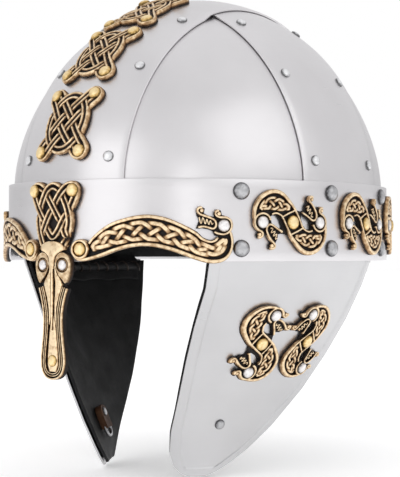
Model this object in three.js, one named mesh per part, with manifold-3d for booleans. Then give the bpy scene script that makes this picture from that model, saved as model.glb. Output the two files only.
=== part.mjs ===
// Spangenhelm: four sheet panels under two crossing straps and a brow band, with a cast nasal,
// serpent eyebrows, knot plaques, S-dragons and two cheek flaps hung on laced leather.
// Millimetres. Z is up, the face looks along -Y and +X is the wearer's left.
// The origin is the middle of the brow opening, level with the rim, where the head sits.

import * as THREE from 'three';
import { TessellateModifier } from 'three/addons/modifiers/TessellateModifier.js';
import { mergeVertices } from 'three/addons/utils/BufferGeometryUtils.js';
import Module from 'manifold-3d';

const wasm = await Module();
wasm.setup();

// Shell
const SHELL_WIDTH = 208;
const SHELL_LENGTH = 244;
const SHELL_RISE = 111;
const CROWN_POWER = 1.73;
const BROW_HEIGHT = 44;
const SHEET = 1.2;
const SEAM_GAP = 0.55;
const SKIRT = 11;

// Straps over the crown
const FRONT_BAND_WIDTH = 78;
const SIDE_BAND_WIDTH = 73;
const PANEL_LAP = 11;
const PANEL_TIP = 1.18;
const CROSSING_RAMP = 16;
const CROSSING_GAP = 0.7;

// Eye arches in the lower edge of the brow band
const EYE_ARCH_RISE = 10.5;
const EYE_ARCH_START = THREE.MathUtils.degToRad(8);
const EYE_ARCH_END = THREE.MathUtils.degToRad(47);

// Leather
const LEATHER = 2;
const LINING_GAP = 0.9;
const LINING_INSET = 1.5;
const LINING_HEIGHT = 40;

// Rivets
const BAND_RIVET = { diameter: 6, rise: 1.7, sides: 6 };
const BROW_RIVET = { diameter: 9.4, rise: 3, sides: 7 };
const BRASS_RIVET = { diameter: 7, rise: 1.8, sides: 6 };
const EYE_RIVET = { diameter: 6.2, rise: 1.8, sides: 6 };
const RIVET_SHANK = 0.8;
const BAND_RIVET_INSET = 9;
const BROW_RIVET_LEVELS = { low: 7, high: 37.5 };
const BROW_RIVET_FROM_EYEBROW = 14.2;
const BROW_RIVET_PAIRS = 5;

// Castings
const CASTING = 2.4;
const CASTING_RIM = 0.8;
const CASTING_SEAT = 0.5;
const CASTING_BEND = 0.27;
const DRAGON_HALF_LENGTH = 24.6;
const DRAGON_HALF_HEIGHT = 17.4;
const DRAGON_LEVEL = 21;
const KNOT_WIDTH = 38;
const KNOT_HEIGHT = 43;
const KNOT_STRAP = 4.2;
const KNOT_RUNS = { low: 32, middle: 80, top: 127 };
const NASAL_WIDTH = 29;
const NASAL_TOP = 43.5;
const NASAL_DROP = 64;
const EYEBROW_WIDTH = 14.6;
const EYEBROW_START = 14.5;
const EYEBROW_REACH = 76;
const EYEBROW_RISE = 11;
const EYEBROW_LEVEL = 5.5;
const BROW_HEAD_LENGTH = 22;

// Cheek flaps
const FLAP_DROP = 122.5;
const FLAP_TOP = 2;
const FLAP_BULGE = 18;
const FLAP_BORDER = 7;
const FLAP_BORDER_RISE = 0.8;
const FLAP_RIVET = { share: 0.413, drop: 92 };
const FLAP_DRAGON_DROP = 46;
const FLAP_DRAGON_LEAN = THREE.MathUtils.degToRad(10);
const FLAP_DRAGON_SHARES = { front: 0.374, back: 0.7 };
const FLAP_LINING_INSET = 1.6;

// Hinge leather, its laced roll, and the chin fittings
const HINGE_RISE = 20;
const HINGE_FALL = 13;
const HINGE_GAP = 0.6;
const HINGE_TURN_TOP = 4;
const HINGE_TURN_END = -1.5;
const HINGE_START = 0.04;
const HINGE_END = 0.94;
const ROLL_DIAMETER = 6;
const ROLL_GAP = 0.8;
const ROLL_LEVEL = -4.5;
const TAB_WIDTH = 12;
const TAB_LENGTH = 10.5;
const TAB_FOLD = 3.2;
const RING_DIAMETER = 11;
const RING_WIRE = 1.8;

const HALF_WIDTH = SHELL_WIDTH / 2;
const HALF_LENGTH = SHELL_LENGTH / 2;
const STRAP_OFFSET = SEAM_GAP;
const BROW_OFFSET = STRAP_OFFSET + SHEET + SEAM_GAP;
const BROW_FACE = BROW_OFFSET + SHEET;

// A casting is bent on chords no longer than this, by CASTING_BEND radians at the brow's tightest.
const CASTING_CHORD = CASTING_BEND * HALF_WIDTH ** 2 / HALF_LENGTH;

const LENGTH_STEPS = 240;
const WALL_SEGMENTS = 48;
const STRAP_COLUMNS = 6;
const FRONT_STRAP_ROWS = 26;
const SIDE_STRAP_ROWS = 24;

// Rails of a cheek flap. drop is a share of FLAP_DROP, across a share of HALF_WIDTH and
// along a share of HALF_LENGTH, negative towards the face.
const FLAP_RAILS = [
  { drop: 0, frontAcross: 0.661, frontAlong: -0.672, rearAcross: 0.861, rearAlong: 0.389 },
  { drop: 0.122, frontAcross: 0.616, frontAlong: -0.652, rearAcross: 0.829, rearAlong: 0.352 },
  { drop: 0.286, frontAcross: 0.535, frontAlong: -0.643, rearAcross: 0.773, rearAlong: 0.283 },
  { drop: 0.449, frontAcross: 0.455, frontAlong: -0.618, rearAcross: 0.709, rearAlong: 0.19 },
  { drop: 0.612, frontAcross: 0.383, frontAlong: -0.593, rearAcross: 0.639, rearAlong: 0.075 },
  { drop: 0.776, frontAcross: 0.306, frontAlong: -0.566, rearAcross: 0.558, rearAlong: -0.074 },
  { drop: 0.882, frontAcross: 0.265, frontAlong: -0.533, rearAcross: 0.487, rearAlong: -0.184 },
  { drop: 0.947, frontAcross: 0.258, frontAlong: -0.496, rearAcross: 0.428, rearAlong: -0.266 },
  { drop: 0.984, frontAcross: 0.275, frontAlong: -0.455, rearAcross: 0.385, rearAlong: -0.324 },
  { drop: 1, frontAcross: 0.303, frontAlong: -0.418, rearAcross: 0.351, rearAlong: -0.369 },
];

// Shares of a flap's width at which its sheet and the leathers behind it are bent, all alike, and
// those where its raised border starts and ends.
const FLAP_LINES = [0.2, 0.35, 0.5, 0.65, 0.8];
const BORDER_LINES = { outer: 0.055, inner: 0.075 };

// Half of an S-dragon's outline, as shares of its half length and half height. The other half is
// the same turned by half a turn.
const DRAGON_HALF = [
  { along: 0.06, up: 0.42 }, { along: -0.1, up: 0.75 }, { along: -0.44, up: 0.99 },
  { along: -0.74, up: 0.89 }, { along: -0.95, up: 0.6 }, { along: -1, up: 0.1 },
  { along: -0.93, up: -0.5 }, { along: -0.78, up: -0.46 }, { along: -0.7, up: -0.28 },
  { along: -0.61, up: -0.79 }, { along: -0.49, up: -0.77 }, { along: -0.41, up: -0.53 },
  { along: -0.2, up: -0.42 },
];

// The leaf-shaped hole between a dragon's jaw and its body, in the same shares.
const DRAGON_LEAF = [
  { along: -0.53, up: 0.03 }, { along: -0.47, up: 0.2 }, { along: -0.36, up: 0.16 },
  { along: -0.27, up: -0.2 },
];

// Half width of the nasal against its height. level runs from the rim, as a share of NASAL_TOP
// above it and of NASAL_DROP below it; half is a share of half of NASAL_WIDTH.
const NASAL_SECTIONS = [
  { level: 1, half: 0.72 }, { level: 0.88, half: 1.3 }, { level: 0.74, half: 0.98 },
  { level: 0.5, half: 0.86 }, { level: 0.3, half: 0.62 }, { level: 0.16, half: 0.74 },
  { level: 0.02, half: 0.98 }, { level: -0.06, half: 1 }, { level: -0.15, half: 0.88 },
  { level: -0.23, half: 0.76 }, { level: -0.35, half: 0.56 }, { level: -0.48, half: 0.46 },
  { level: -0.66, half: 0.5 }, { level: -0.82, half: 0.6 }, { level: -0.92, half: 0.52 },
  { level: -1, half: 0.2 },
];

// The eyebrow's middle line and width. reach is a share of EYEBROW_REACH from its inner end, rise a
// share of EYEBROW_RISE above EYEBROW_LEVEL, and width a share of EYEBROW_WIDTH.
const EYEBROW_SECTIONS = [
  { reach: 0, rise: 0.02, width: 0.7 }, { reach: 0.1, rise: 0.1, width: 0.98 },
  { reach: 0.22, rise: 0.47, width: 0.98 }, { reach: 0.36, rise: 0.8, width: 1 },
  { reach: 0.5, rise: 1, width: 1 }, { reach: 0.64, rise: 0.95, width: 1 },
  { reach: 0.78, rise: 0.66, width: 0.94 }, { reach: 0.9, rise: 0.25, width: 0.86 },
  { reach: 1, rise: -0.05, width: 0.72 },
];

// The dragon head at an eyebrow's outer end, as shares of BROW_HEAD_LENGTH from the neck.
const BROW_HEAD = [
  { along: -0.28, up: -0.3 }, { along: 0.08, up: -0.36 }, { along: 0.3, up: -0.2 },
  { along: 0.42, up: 0.16 }, { along: 0.4, up: 0.5 }, { along: 0.2, up: 0.74 },
  { along: -0.1, up: 0.76 }, { along: -0.34, up: 1 }, { along: -0.52, up: 0.9 },
  { along: -0.48, up: 0.62 }, { along: -0.3, up: 0.4 }, { along: -0.04, up: 0.2 },
  { along: 0.02, up: 0.02 },
];

const steel = { color: 0xd4d6d8, roughness: 0.32, metalness: 1 };
const bronze = { color: 0xc9a36a, roughness: 0.38, metalness: 1 };
const blackLeather = { color: 0x1b1b1d, roughness: 0.65, metalness: 0 };
const brownLeather = { color: 0x5a3a22, roughness: 0.7, metalness: 0 };
const wire = { color: 0x9a9c9e, roughness: 0.35, metalness: 1 };

const helmet = new THREE.Group();

/** Adds a named mesh to the helmet. */
function addPiece(name, geometry, look) {
  const finished = geometry.clone();
  finished.computeVertexNormals();
  const mesh = new THREE.Mesh(finished, new THREE.MeshStandardMaterial(look));
  mesh.name = name;
  helmet.add(mesh);
}

/** Keeps only positions, with shared corners merged. */
function bare(geometry) {
  const copy = new THREE.BufferGeometry();
  copy.setAttribute('position', geometry.getAttribute('position').clone());
  if (geometry.index) copy.setIndex(geometry.index.clone());
  return mergeVertices(copy, 1e-3);
}

/** Moves every corner of a geometry, given as (x, y, z), to where place puts it. */
function bend(geometry, place) {
  const bent = bare(geometry);
  const corners = bent.getAttribute('position');
  const corner = new THREE.Vector3();
  for (let i = 0; i < corners.count; i += 1) {
    corner.fromBufferAttribute(corners, i);
    const moved = place(corner.x, corner.y, corner.z);
    corners.setXYZ(i, moved.x, moved.y, moved.z);
  }
  return facingOut(bent);
}

/** Turns the faces over where a bend or a mirror has left the solid inside out. */
function facingOut(geometry) {
  const corners = geometry.getAttribute('position');
  const index = geometry.index.array;
  const a = new THREE.Vector3();
  const b = new THREE.Vector3();
  const c = new THREE.Vector3();
  let volume = 0;
  for (let i = 0; i < index.length; i += 3) {
    a.fromBufferAttribute(corners, index[i]);
    b.fromBufferAttribute(corners, index[i + 1]);
    c.fromBufferAttribute(corners, index[i + 2]);
    volume += a.dot(b.cross(c));
  }
  if (volume < 0) {
    for (let i = 0; i < index.length; i += 3) {
      [index[i + 1], index[i + 2]] = [index[i + 2], index[i + 1]];
    }
  }
  return geometry;
}

/** The same piece on the wearer's other side. */
function mirrored(geometry) {
  return bend(geometry, (x, y, z) => new THREE.Vector3(-x, y, z));
}

/** Geometry to a solid that can be joined and cut. */
function solidOf(geometry) {
  const merged = bare(geometry);
  const vertProperties = new Float32Array(merged.getAttribute('position').array);
  const triVerts = new Uint32Array(merged.index.array);
  return new wasm.Manifold(new wasm.Mesh({ numProp: 3, vertProperties, triVerts }));
}

/** A solid back to geometry. */
function geometryOf(solid) {
  const mesh = solid.getMesh();
  const geometry = new THREE.BufferGeometry();
  geometry.setAttribute('position', new THREE.BufferAttribute(mesh.vertProperties, 3));
  geometry.setIndex(new THREE.BufferAttribute(mesh.triVerts, 1));
  return geometry;
}

/** Joins geometries into one solid. */
function joined(geometries) {
  const solids = geometries.map(solidOf);
  return geometryOf(solids.slice(1).reduce((whole, next) => whole.add(next), solids[0]));
}

/** A sheet of columns by rows, from a unit box; place takes across, along and through, each 0 to 1. */
function sheet(columns, rows, place) {
  const box = new THREE.BoxGeometry(1, 1, 1, columns, rows, 1);
  return bend(box, (x, y, z) => place(x + 0.5, y + 0.5, z + 0.5));
}

/** Smooth step from 0 to 1. */
function ease(value) {
  const share = THREE.MathUtils.clamp(value, 0, 1);
  return share * share * (3 - 2 * share);
}

/** Reads a table of rows ordered by key at a value, between its rows. */
function readTable(rows, key, value, column) {
  const rising = rows[rows.length - 1][key] > rows[0][key];
  let low = 0;
  while (low < rows.length - 2 && (rising ? rows[low + 1][key] < value : rows[low + 1][key] > value)) {
    low += 1;
  }
  const from = rows[low];
  const to = rows[low + 1];
  const share = THREE.MathUtils.clamp((value - from[key]) / (to[key] - from[key]), 0, 1);
  return THREE.MathUtils.lerp(from[column], to[column], share);
}

/** Length along a path against its parameter, so that a piece can be placed by its own length. */
function lengthTable(pointAt, from, to) {
  const rows = [{ at: from, run: 0 }];
  let last = pointAt(from);
  for (let i = 1; i <= LENGTH_STEPS; i += 1) {
    const at = THREE.MathUtils.lerp(from, to, i / LENGTH_STEPS);
    const next = pointAt(at);
    rows.push({ at, run: rows[i - 1].run + next.distanceTo(last) });
    last = next;
  }
  return rows;
}

/** Point of the shell, offset outside the panels. turn runs from the face round the wearer's left,
 *  tilt from the brow (0) to the crown (a quarter turn). */
function shellPoint(turn, tilt, offset) {
  const reach = Math.cos(tilt);
  const height = (SHELL_RISE + offset) * Math.sin(tilt) ** (2 / CROWN_POWER);
  return new THREE.Vector3(
    (HALF_WIDTH + offset) * reach * Math.sin(turn),
    -(HALF_LENGTH + offset) * reach * Math.cos(turn),
    BROW_HEIGHT + height,
  );
}

/** Point of the upright wall round the brow. */
function wallPoint(turn, level, offset) {
  const point = shellPoint(turn, 0, offset);
  point.z = level;
  return point;
}

const wallRuns = lengthTable((turn) => wallPoint(turn, 0, BROW_FACE), 0, Math.PI);

/** Angle from the face at a length round the brow band's outside. */
function turnAtRun(run) {
  return Math.sign(run) * readTable(wallRuns, 'run', Math.abs(run), 'at');
}

/** Length round the brow band's outside at an angle from the face. */
function runAtTurn(turn) {
  return readTable(wallRuns, 'at', turn, 'run');
}

/** Angle of a rivet pair in the brow band. The first stands clear of the eyebrow's end, and the rest
 *  share the way to the nape, which lies half a pitch past the last. */
function pairTurn(pair) {
  const first = turnAtRun(EYEBROW_START + EYEBROW_REACH + BROW_RIVET_FROM_EYEBROW);
  const pitch = (Math.PI - first) / (BROW_RIVET_PAIRS - 0.5);
  return first + pair * pitch;
}

/** Point on a strap that crosses the crown from end to end. across is measured from the strap's
 *  middle line, and run from the brow band's top edge at its first end. */
function strapPoint(strap, across, run, offset) {
  const squeeze = 1 - (across / (strap.sideRadius + offset)) ** 2;
  const tilt = readTable(strap.runs, 'run', run, 'at');
  const reach = (strap.endRadius + offset) * Math.sqrt(squeeze) * Math.cos(tilt);
  const rise = (SHELL_RISE + offset) * (squeeze * Math.sin(tilt) ** 2) ** (1 / CROWN_POWER);
  const beyond = Math.min(run, 0) + Math.min(strap.length - run, 0);
  return strap.place(across, reach, BROW_HEIGHT + rise + beyond);
}

/** A strap's radii and its table of lengths. */
function makeStrap(endRadius, sideRadius, place) {
  const middle = (tilt) => {
    const height = SHELL_RISE * Math.sin(tilt) ** (2 / CROWN_POWER);
    return new THREE.Vector3(0, endRadius * Math.cos(tilt), height);
  };
  const runs = lengthTable(middle, 0, Math.PI);
  return { endRadius, sideRadius, place, runs, length: runs[runs.length - 1].run };
}

const frontStrap = makeStrap(HALF_LENGTH, HALF_WIDTH, (across, reach, up) => (
  new THREE.Vector3(across, -reach, up)
));
const sideStrap = makeStrap(HALF_WIDTH, HALF_LENGTH, (across, reach, up) => (
  new THREE.Vector3(reach, across, up)
));

/** Point on the front-back band, which climbs over the side band at the crown. */
function frontBandPoint(across, run, offset) {
  const low = strapPoint(frontStrap, across, run, STRAP_OFFSET + offset);
  const away = Math.abs(low.y) - SIDE_BAND_WIDTH / 2;
  const climb = (SHEET + CROSSING_GAP) * (1 - ease((away - CROSSING_GAP) / CROSSING_RAMP));
  return strapPoint(frontStrap, across, run, STRAP_OFFSET + offset + climb);
}

/** A low domed rivet head on the Z axis, with a short shank below it. */
function rivetHead({ diameter, rise, sides }) {
  const radius = diameter / 2;
  const profile = [
    new THREE.Vector2(0, -RIVET_SHANK),
    new THREE.Vector2(radius, -RIVET_SHANK),
    new THREE.Vector2(radius * 0.75, rise * 0.72),
    new THREE.Vector2(0, rise),
  ];
  const head = new THREE.LatheGeometry(profile, sides);
  head.rotateX(Math.PI / 2);
  return facingOut(bare(head));
}

/** A rivet head standing at a point, along the direction that the surface faces there. */
function rivetAt(size, surface, u, v) {
  const step = 0.5;
  const point = surface(u, v, 0);
  const right = surface(u + step, v, 0).sub(point);
  const up = surface(u, v + step, 0).sub(point);
  const normal = right.cross(up).normalize();
  const turn = new THREE.Quaternion().setFromUnitVectors(new THREE.Vector3(0, 0, 1), normal);
  const head = rivetHead(size);
  head.applyQuaternion(turn);
  head.translate(point.x, point.y, point.z);
  return head;
}

// Where each column of rivets stands along a strap, as shares of its whole length.
const STRAP_RIVET_SHARES = [0.035, 0.2, 0.335, 0.665, 0.8, 0.965];

/** A strap of sheet with two columns of rivet heads. */
function strapGeometry(strap, width, columns, rows, surface) {
  const plate = sheet(columns, rows, (s, t, w) => (
    surface((s - 0.5) * width, THREE.MathUtils.lerp(-SKIRT, strap.length + SKIRT, t), w * SHEET)
  ));
  const face = (u, v, w) => surface(u, v, SHEET + w);
  const heads = [];
  for (const share of STRAP_RIVET_SHARES) {
    for (const side of [-1, 1]) {
      const across = side * (width / 2 - BAND_RIVET_INSET);
      heads.push(rivetAt(BAND_RIVET, face, across, share * strap.length));
    }
  }
  return joined([plate, ...heads]);
}

/** A panel between the front-back band and the side band, on the wearer's left and in front. */
function panelGeometry() {
  const underFront = FRONT_BAND_WIDTH / 2 - PANEL_LAP;
  const underSide = SIDE_BAND_WIDTH / 2 - PANEL_LAP;
  const cornerReach = Math.hypot(underFront / HALF_WIDTH, underSide / HALF_LENGTH);
  const topTilt = Math.acos(cornerReach * PANEL_TIP);
  const rows = 8;
  const skirtShare = 1 / rows;
  return sheet(6, rows, (s, t, w) => {
    const climb = Math.max(0, (t - skirtShare) / (1 - skirtShare));
    const tilt = climb * topTilt;
    const reach = Math.cos(tilt);
    const from = Math.asin(underFront / (HALF_WIDTH * reach));
    const to = Math.acos(underSide / (HALF_LENGTH * reach));
    const point = shellPoint(THREE.MathUtils.lerp(from, to, s), tilt, (w - 1) * SHEET);
    point.z -= SKIRT * Math.max(0, 1 - t / skirtShare);
    return point;
  });
}

/** Height of the rim's lower edge above the rim: a shallow arch over each eye. */
function eyeArch(turn) {
  const share = (Math.abs(turn) - EYE_ARCH_START) / (EYE_ARCH_END - EYE_ARCH_START);
  const inside = THREE.MathUtils.clamp(share, 0, 1);
  return EYE_ARCH_RISE * Math.sin(Math.PI * inside) ** 2;
}

/** A closed upright ring round the brow between two offsets. */
function wallRing(inner, outer, segments, bottom, top) {
  const shape = new THREE.Shape();
  shape.absellipse(0, 0, HALF_WIDTH + outer, HALF_LENGTH + outer, 0, 2 * Math.PI);
  const hole = new THREE.Path();
  hole.absellipse(0, 0, HALF_WIDTH + inner, HALF_LENGTH + inner, 0, 2 * Math.PI);
  shape.holes.push(hole);
  const curveSegments = segments / 2;
  const ring = new THREE.ExtrudeGeometry(shape, { depth: 1, bevelEnabled: false, curveSegments });
  return bend(ring, (x, y, z) => {
    const turn = Math.atan2(x / HALF_WIDTH, -y / HALF_LENGTH);
    return new THREE.Vector3(x, y, THREE.MathUtils.lerp(bottom(turn), top, z));
  });
}

/** The brow band's outside, by length round it and by height. */
function browFace(run, level, lift) {
  return wallPoint(turnAtRun(run), level, BROW_FACE + lift);
}

function browBandGeometry() {
  const ring = wallRing(BROW_OFFSET, BROW_FACE, WALL_SEGMENTS, eyeArch, BROW_HEIGHT);
  const heads = [];
  for (let pair = 0; pair < BROW_RIVET_PAIRS; pair += 1) {
    const run = runAtTurn(pairTurn(pair));
    for (const level of Object.values(BROW_RIVET_LEVELS)) {
      heads.push(rivetAt(BROW_RIVET, browFace, run, level));
      heads.push(rivetAt(BROW_RIVET, browFace, -run, level));
    }
  }
  return joined([ring, ...heads]);
}

function liningBandGeometry() {
  const outer = -SHEET - LINING_GAP;
  const bottom = (turn) => eyeArch(turn) + LINING_INSET;
  return wallRing(outer - LEATHER, outer, WALL_SEGMENTS, bottom, LINING_INSET + LINING_HEIGHT);
}

/** Flat outline from a table of shares, as a shape. */
function outline(rows, length, height) {
  return new THREE.Shape(rows.map((row) => new THREE.Vector2(row.along * length, row.up * height)));
}

/** The rows of a table after half a turn. */
function halfTurned(rows) {
  return rows.map((row) => ({ along: -row.along, up: -row.up }));
}

/** A flat plate lying on Z = 0. */
function plate(shape, thickness) {
  return new THREE.ExtrudeGeometry(shape, { depth: thickness, bevelEnabled: false, curveSegments: 5 });
}

/** A rivet head on a flat plate. */
function flatRivet(size, u, v, height) {
  return rivetHead(size).translate(u, v, height);
}

/** The S-dragon, flat: two lobed heads joined by a lozenge, with a brass rivet and two eyes. */
function flatDragon() {
  const shape = outline(
    [...DRAGON_HALF, ...halfTurned(DRAGON_HALF)],
    DRAGON_HALF_LENGTH,
    DRAGON_HALF_HEIGHT,
  );
  for (const leaf of [DRAGON_LEAF, halfTurned(DRAGON_LEAF)]) {
    shape.holes.push(outline(leaf, DRAGON_HALF_LENGTH, DRAGON_HALF_HEIGHT));
  }
  const eye = DRAGON_HALF_LENGTH * 0.75;
  return joined([
    plate(shape, CASTING),
    flatRivet(BRASS_RIVET, 0, 0, CASTING),
    flatRivet(EYE_RIVET, -eye, 0, CASTING),
    flatRivet(EYE_RIVET, eye, 0, CASTING),
  ]);
}

/** A flat casting laid on a surface round a centre, turned by an angle. flip is -1 for its mirror. */
function laid(flat, surface, centre, angle, flip) {
  const cos = Math.cos(angle);
  const sin = Math.sin(angle);
  const fine = new TessellateModifier(CASTING_CHORD, 8).modify(bare(flat));
  return bend(fine, (x, y, z) => {
    const u = centre.u + x * flip * cos - y * sin;
    const v = centre.v + x * flip * sin + y * cos;
    return surface(u, v, CASTING_SEAT + z);
  });
}

/** One pointed loop of a knot, flat, along a diagonal from corner to corner. */
function knotLoop(tilt) {
  const reach = Math.hypot(KNOT_WIDTH, KNOT_HEIGHT) / 2 - 3;
  const belly = KNOT_STRAP * 1.9;
  const side = (half, end) => [
    new THREE.Vector2(end, 0),
    new THREE.Vector2(end * 0.72, half * 0.86),
    new THREE.Vector2(-end * 0.72, half * 0.86),
    new THREE.Vector2(-end, 0),
    new THREE.Vector2(-end * 0.72, -half * 0.86),
    new THREE.Vector2(end * 0.72, -half * 0.86),
  ];
  const shape = new THREE.Shape(side(belly, reach));
  shape.holes.push(new THREE.Path(side(belly - KNOT_STRAP, reach - KNOT_STRAP * 1.7)));
  return plate(shape, CASTING).rotateZ(tilt);
}

/** A knot plaque, flat: two crossing loops and a ring, cut through between, with corner rivets. */
function flatKnot() {
  const tilt = Math.atan2(KNOT_HEIGHT, KNOT_WIDTH);
  const ring = new THREE.Shape();
  ring.absellipse(0, 0, KNOT_WIDTH * 0.4, KNOT_HEIGHT * 0.4, 0, 2 * Math.PI);
  const hole = new THREE.Path();
  hole.absellipse(0, 0, KNOT_WIDTH * 0.4 - KNOT_STRAP, KNOT_HEIGHT * 0.4 - KNOT_STRAP, 0, 2 * Math.PI);
  ring.holes.push(hole);
  const pieces = [knotLoop(tilt), knotLoop(-tilt), plate(ring, CASTING - CASTING_RIM)];
  for (const right of [-1, 1]) {
    for (const up of [-1, 1]) {
      const u = right * KNOT_WIDTH * 0.38;
      const v = up * KNOT_HEIGHT * 0.395;
      pieces.push(flatRivet(BRASS_RIVET, u, v, CASTING));
    }
  }
  return joined(pieces);
}

/** The nasal: a knot-shaped top, a brow between two eye sockets and a snout that hangs down. */
function nasalGeometry() {
  const halfAt = (level) => readTable(NASAL_SECTIONS, 'level', level, 'half') * NASAL_WIDTH / 2;
  const heightAt = (level) => level * (level > 0 ? NASAL_TOP : NASAL_DROP);
  const rows = NASAL_SECTIONS.length - 1;
  const body = sheet(2, rows, (s, t, w) => {
    const { level } = NASAL_SECTIONS[Math.round((1 - t) * rows)];
    const across = (2 * s - 1) * halfAt(level);
    const ridge = w * CASTING_RIM * (1 - Math.abs(2 * s - 1));
    return browFace(across, heightAt(level), CASTING_SEAT + w * CASTING + ridge);
  });
  const face = (u, v, w) => browFace(u, v, CASTING_SEAT + CASTING + w);
  const pieces = [body];
  for (const side of [-1, 1]) {
    pieces.push(rivetAt(BRASS_RIVET, face, side * NASAL_WIDTH * 0.49, NASAL_TOP * 0.89));
    pieces.push(rivetAt(EYE_RIVET, face, side * NASAL_WIDTH * 0.27, -NASAL_DROP * 0.03));
  }
  pieces.push(rivetAt(BRASS_RIVET, face, 0, -NASAL_DROP * 0.81));
  return joined(pieces);
}

/** The left eyebrow: a serpent's body with raised borders, ending in a dragon's head. */
function eyebrowGeometry() {
  const rows = EYEBROW_SECTIONS.length + 3;
  const borders = [0, 0.14, 0.2, 0.8, 0.86, 1];
  const tops = [CASTING, CASTING, CASTING - CASTING_RIM, CASTING - CASTING_RIM, CASTING, CASTING];
  const at = (reach, column) => readTable(EYEBROW_SECTIONS, 'reach', reach, column);
  const body = sheet(borders.length - 1, rows, (s, t, w) => {
    const column = Math.round(s * (borders.length - 1));
    const level = EYEBROW_LEVEL + at(t, 'rise') * EYEBROW_RISE;
    const v = level + (borders[column] - 0.5) * at(t, 'width') * EYEBROW_WIDTH;
    return browFace(EYEBROW_START + t * EYEBROW_REACH, v, CASTING_SEAT + w * tops[column]);
  });
  const neck = { u: EYEBROW_START + EYEBROW_REACH, v: EYEBROW_LEVEL };
  const flatHead = joined([
    plate(outline(BROW_HEAD, BROW_HEAD_LENGTH, BROW_HEAD_LENGTH), CASTING),
    flatRivet(EYE_RIVET, BROW_HEAD_LENGTH * 0.18, BROW_HEAD_LENGTH * 0.5, CASTING),
  ]);
  const head = laid(flatHead, browFace, neck, 0, 1);
  const face = (u, v, w) => browFace(u, v, CASTING_SEAT + CASTING - CASTING_RIM + w);
  const cup = rivetAt(BRASS_RIVET, face, EYEBROW_START + BRASS_RIVET.diameter * 0.62, EYEBROW_LEVEL + 0.5);
  return joined([body, head, cup]);
}

/** A cheek flap's chord at a drop below the rim: its front end, and from there to its rear end. */
function flapChord(drop) {
  const read = (column) => readTable(FLAP_RAILS, 'drop', drop / FLAP_DROP, column);
  const front = new THREE.Vector2(read('frontAcross') * HALF_WIDTH, read('frontAlong') * HALF_LENGTH);
  const rear = new THREE.Vector2(read('rearAcross') * HALF_WIDTH, read('rearAlong') * HALF_LENGTH);
  return { front, chord: rear.sub(front) };
}

const flapTopLength = flapChord(0).chord.length();

/** Inner face of the leather that backs a flap, from the flap's own inner face. */
const FLAP_BACK = -SEAM_GAP - LEATHER;

/** A sheet bent along chosen lines: shares from front to rear and drops from top to bottom. */
function griddedSheet(shares, drops, place) {
  return sheet(shares.length - 1, drops.length - 1, (s, t, w) => {
    const share = shares[Math.round(s * (shares.length - 1))];
    const drop = drops[Math.round((1 - t) * (drops.length - 1))];
    return place(share, drop, w);
  });
}

/** Point on the left cheek flap. share runs from its front edge to its rear edge. */
function flapPoint(share, drop, offset) {
  const { front, chord } = flapChord(drop);
  const outward = new THREE.Vector2(chord.y, -chord.x).normalize();
  const bulge = FLAP_BULGE * (chord.length() / flapTopLength) ** 2 * 4 * share * (1 - share);
  const point = front.clone().addScaledVector(chord, share).addScaledVector(outward, bulge + offset);
  return new THREE.Vector3(point.x, point.y, -drop);
}

/** The left flap as an ornament's surface: lengths to the rear and up from a centre. */
function flapFace(centre) {
  const { front, chord } = flapChord(centre.drop);
  const rearward = chord.clone().normalize();
  const along = front.dot(rearward) + centre.share * chord.length();
  const lean = flapPoint(centre.share, centre.drop + 1, 0).distanceTo(
    flapPoint(centre.share, centre.drop, 0),
  );
  return (u, v, w) => {
    const drop = centre.drop - v / lean;
    const here = flapChord(drop);
    const share = (along + u - here.front.dot(rearward)) / here.chord.dot(rearward);
    return flapPoint(share, drop, SHEET + w);
  };
}

/** How far inside a flap's outline a point lies, as a share of the border's width. */
function borderShare(share, drop) {
  const width = flapChord(drop).chord.length();
  const inside = Math.min(share * width, (1 - share) * width, (FLAP_DROP - drop) * 1.2);
  return inside / FLAP_BORDER;
}

function flapGeometry() {
  const { outer, inner } = BORDER_LINES;
  const columns = [0, outer, inner, ...FLAP_LINES, 1 - inner, 1 - outer, 1];
  const drops = [FLAP_TOP, ...FLAP_RAILS.slice(1).map((rail) => rail.drop * FLAP_DROP)];
  const plateOf = griddedSheet(columns, drops, (share, drop, w) => {
    const raised = borderShare(share, drop) < 1 ? FLAP_BORDER_RISE : 0;
    return flapPoint(share, drop, w * SHEET + raised);
  });
  const rivetFace = flapFace(FLAP_RIVET);
  return joined([plateOf, rivetAt(BAND_RIVET, rivetFace, 0, 0)]);
}

/** Leather against the inside of a flap, a little short of its edges. */
function flapLiningGeometry() {
  const columns = [0, ...FLAP_LINES, 1];
  const inside = FLAP_RAILS.slice(1).map((rail) => rail.drop * FLAP_DROP);
  const lowest = FLAP_DROP - FLAP_LINING_INSET * 2;
  const drops = [FLAP_TOP + FLAP_LINING_INSET, ...inside.filter((drop) => drop < lowest), lowest];
  return griddedSheet(columns, drops, (share, drop, w) => {
    const inset = FLAP_LINING_INSET / flapChord(drop).chord.length();
    const within = THREE.MathUtils.clamp(share, inset, 1 - inset);
    return flapPoint(within, drop, FLAP_BACK + w * LEATHER);
  });
}

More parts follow.
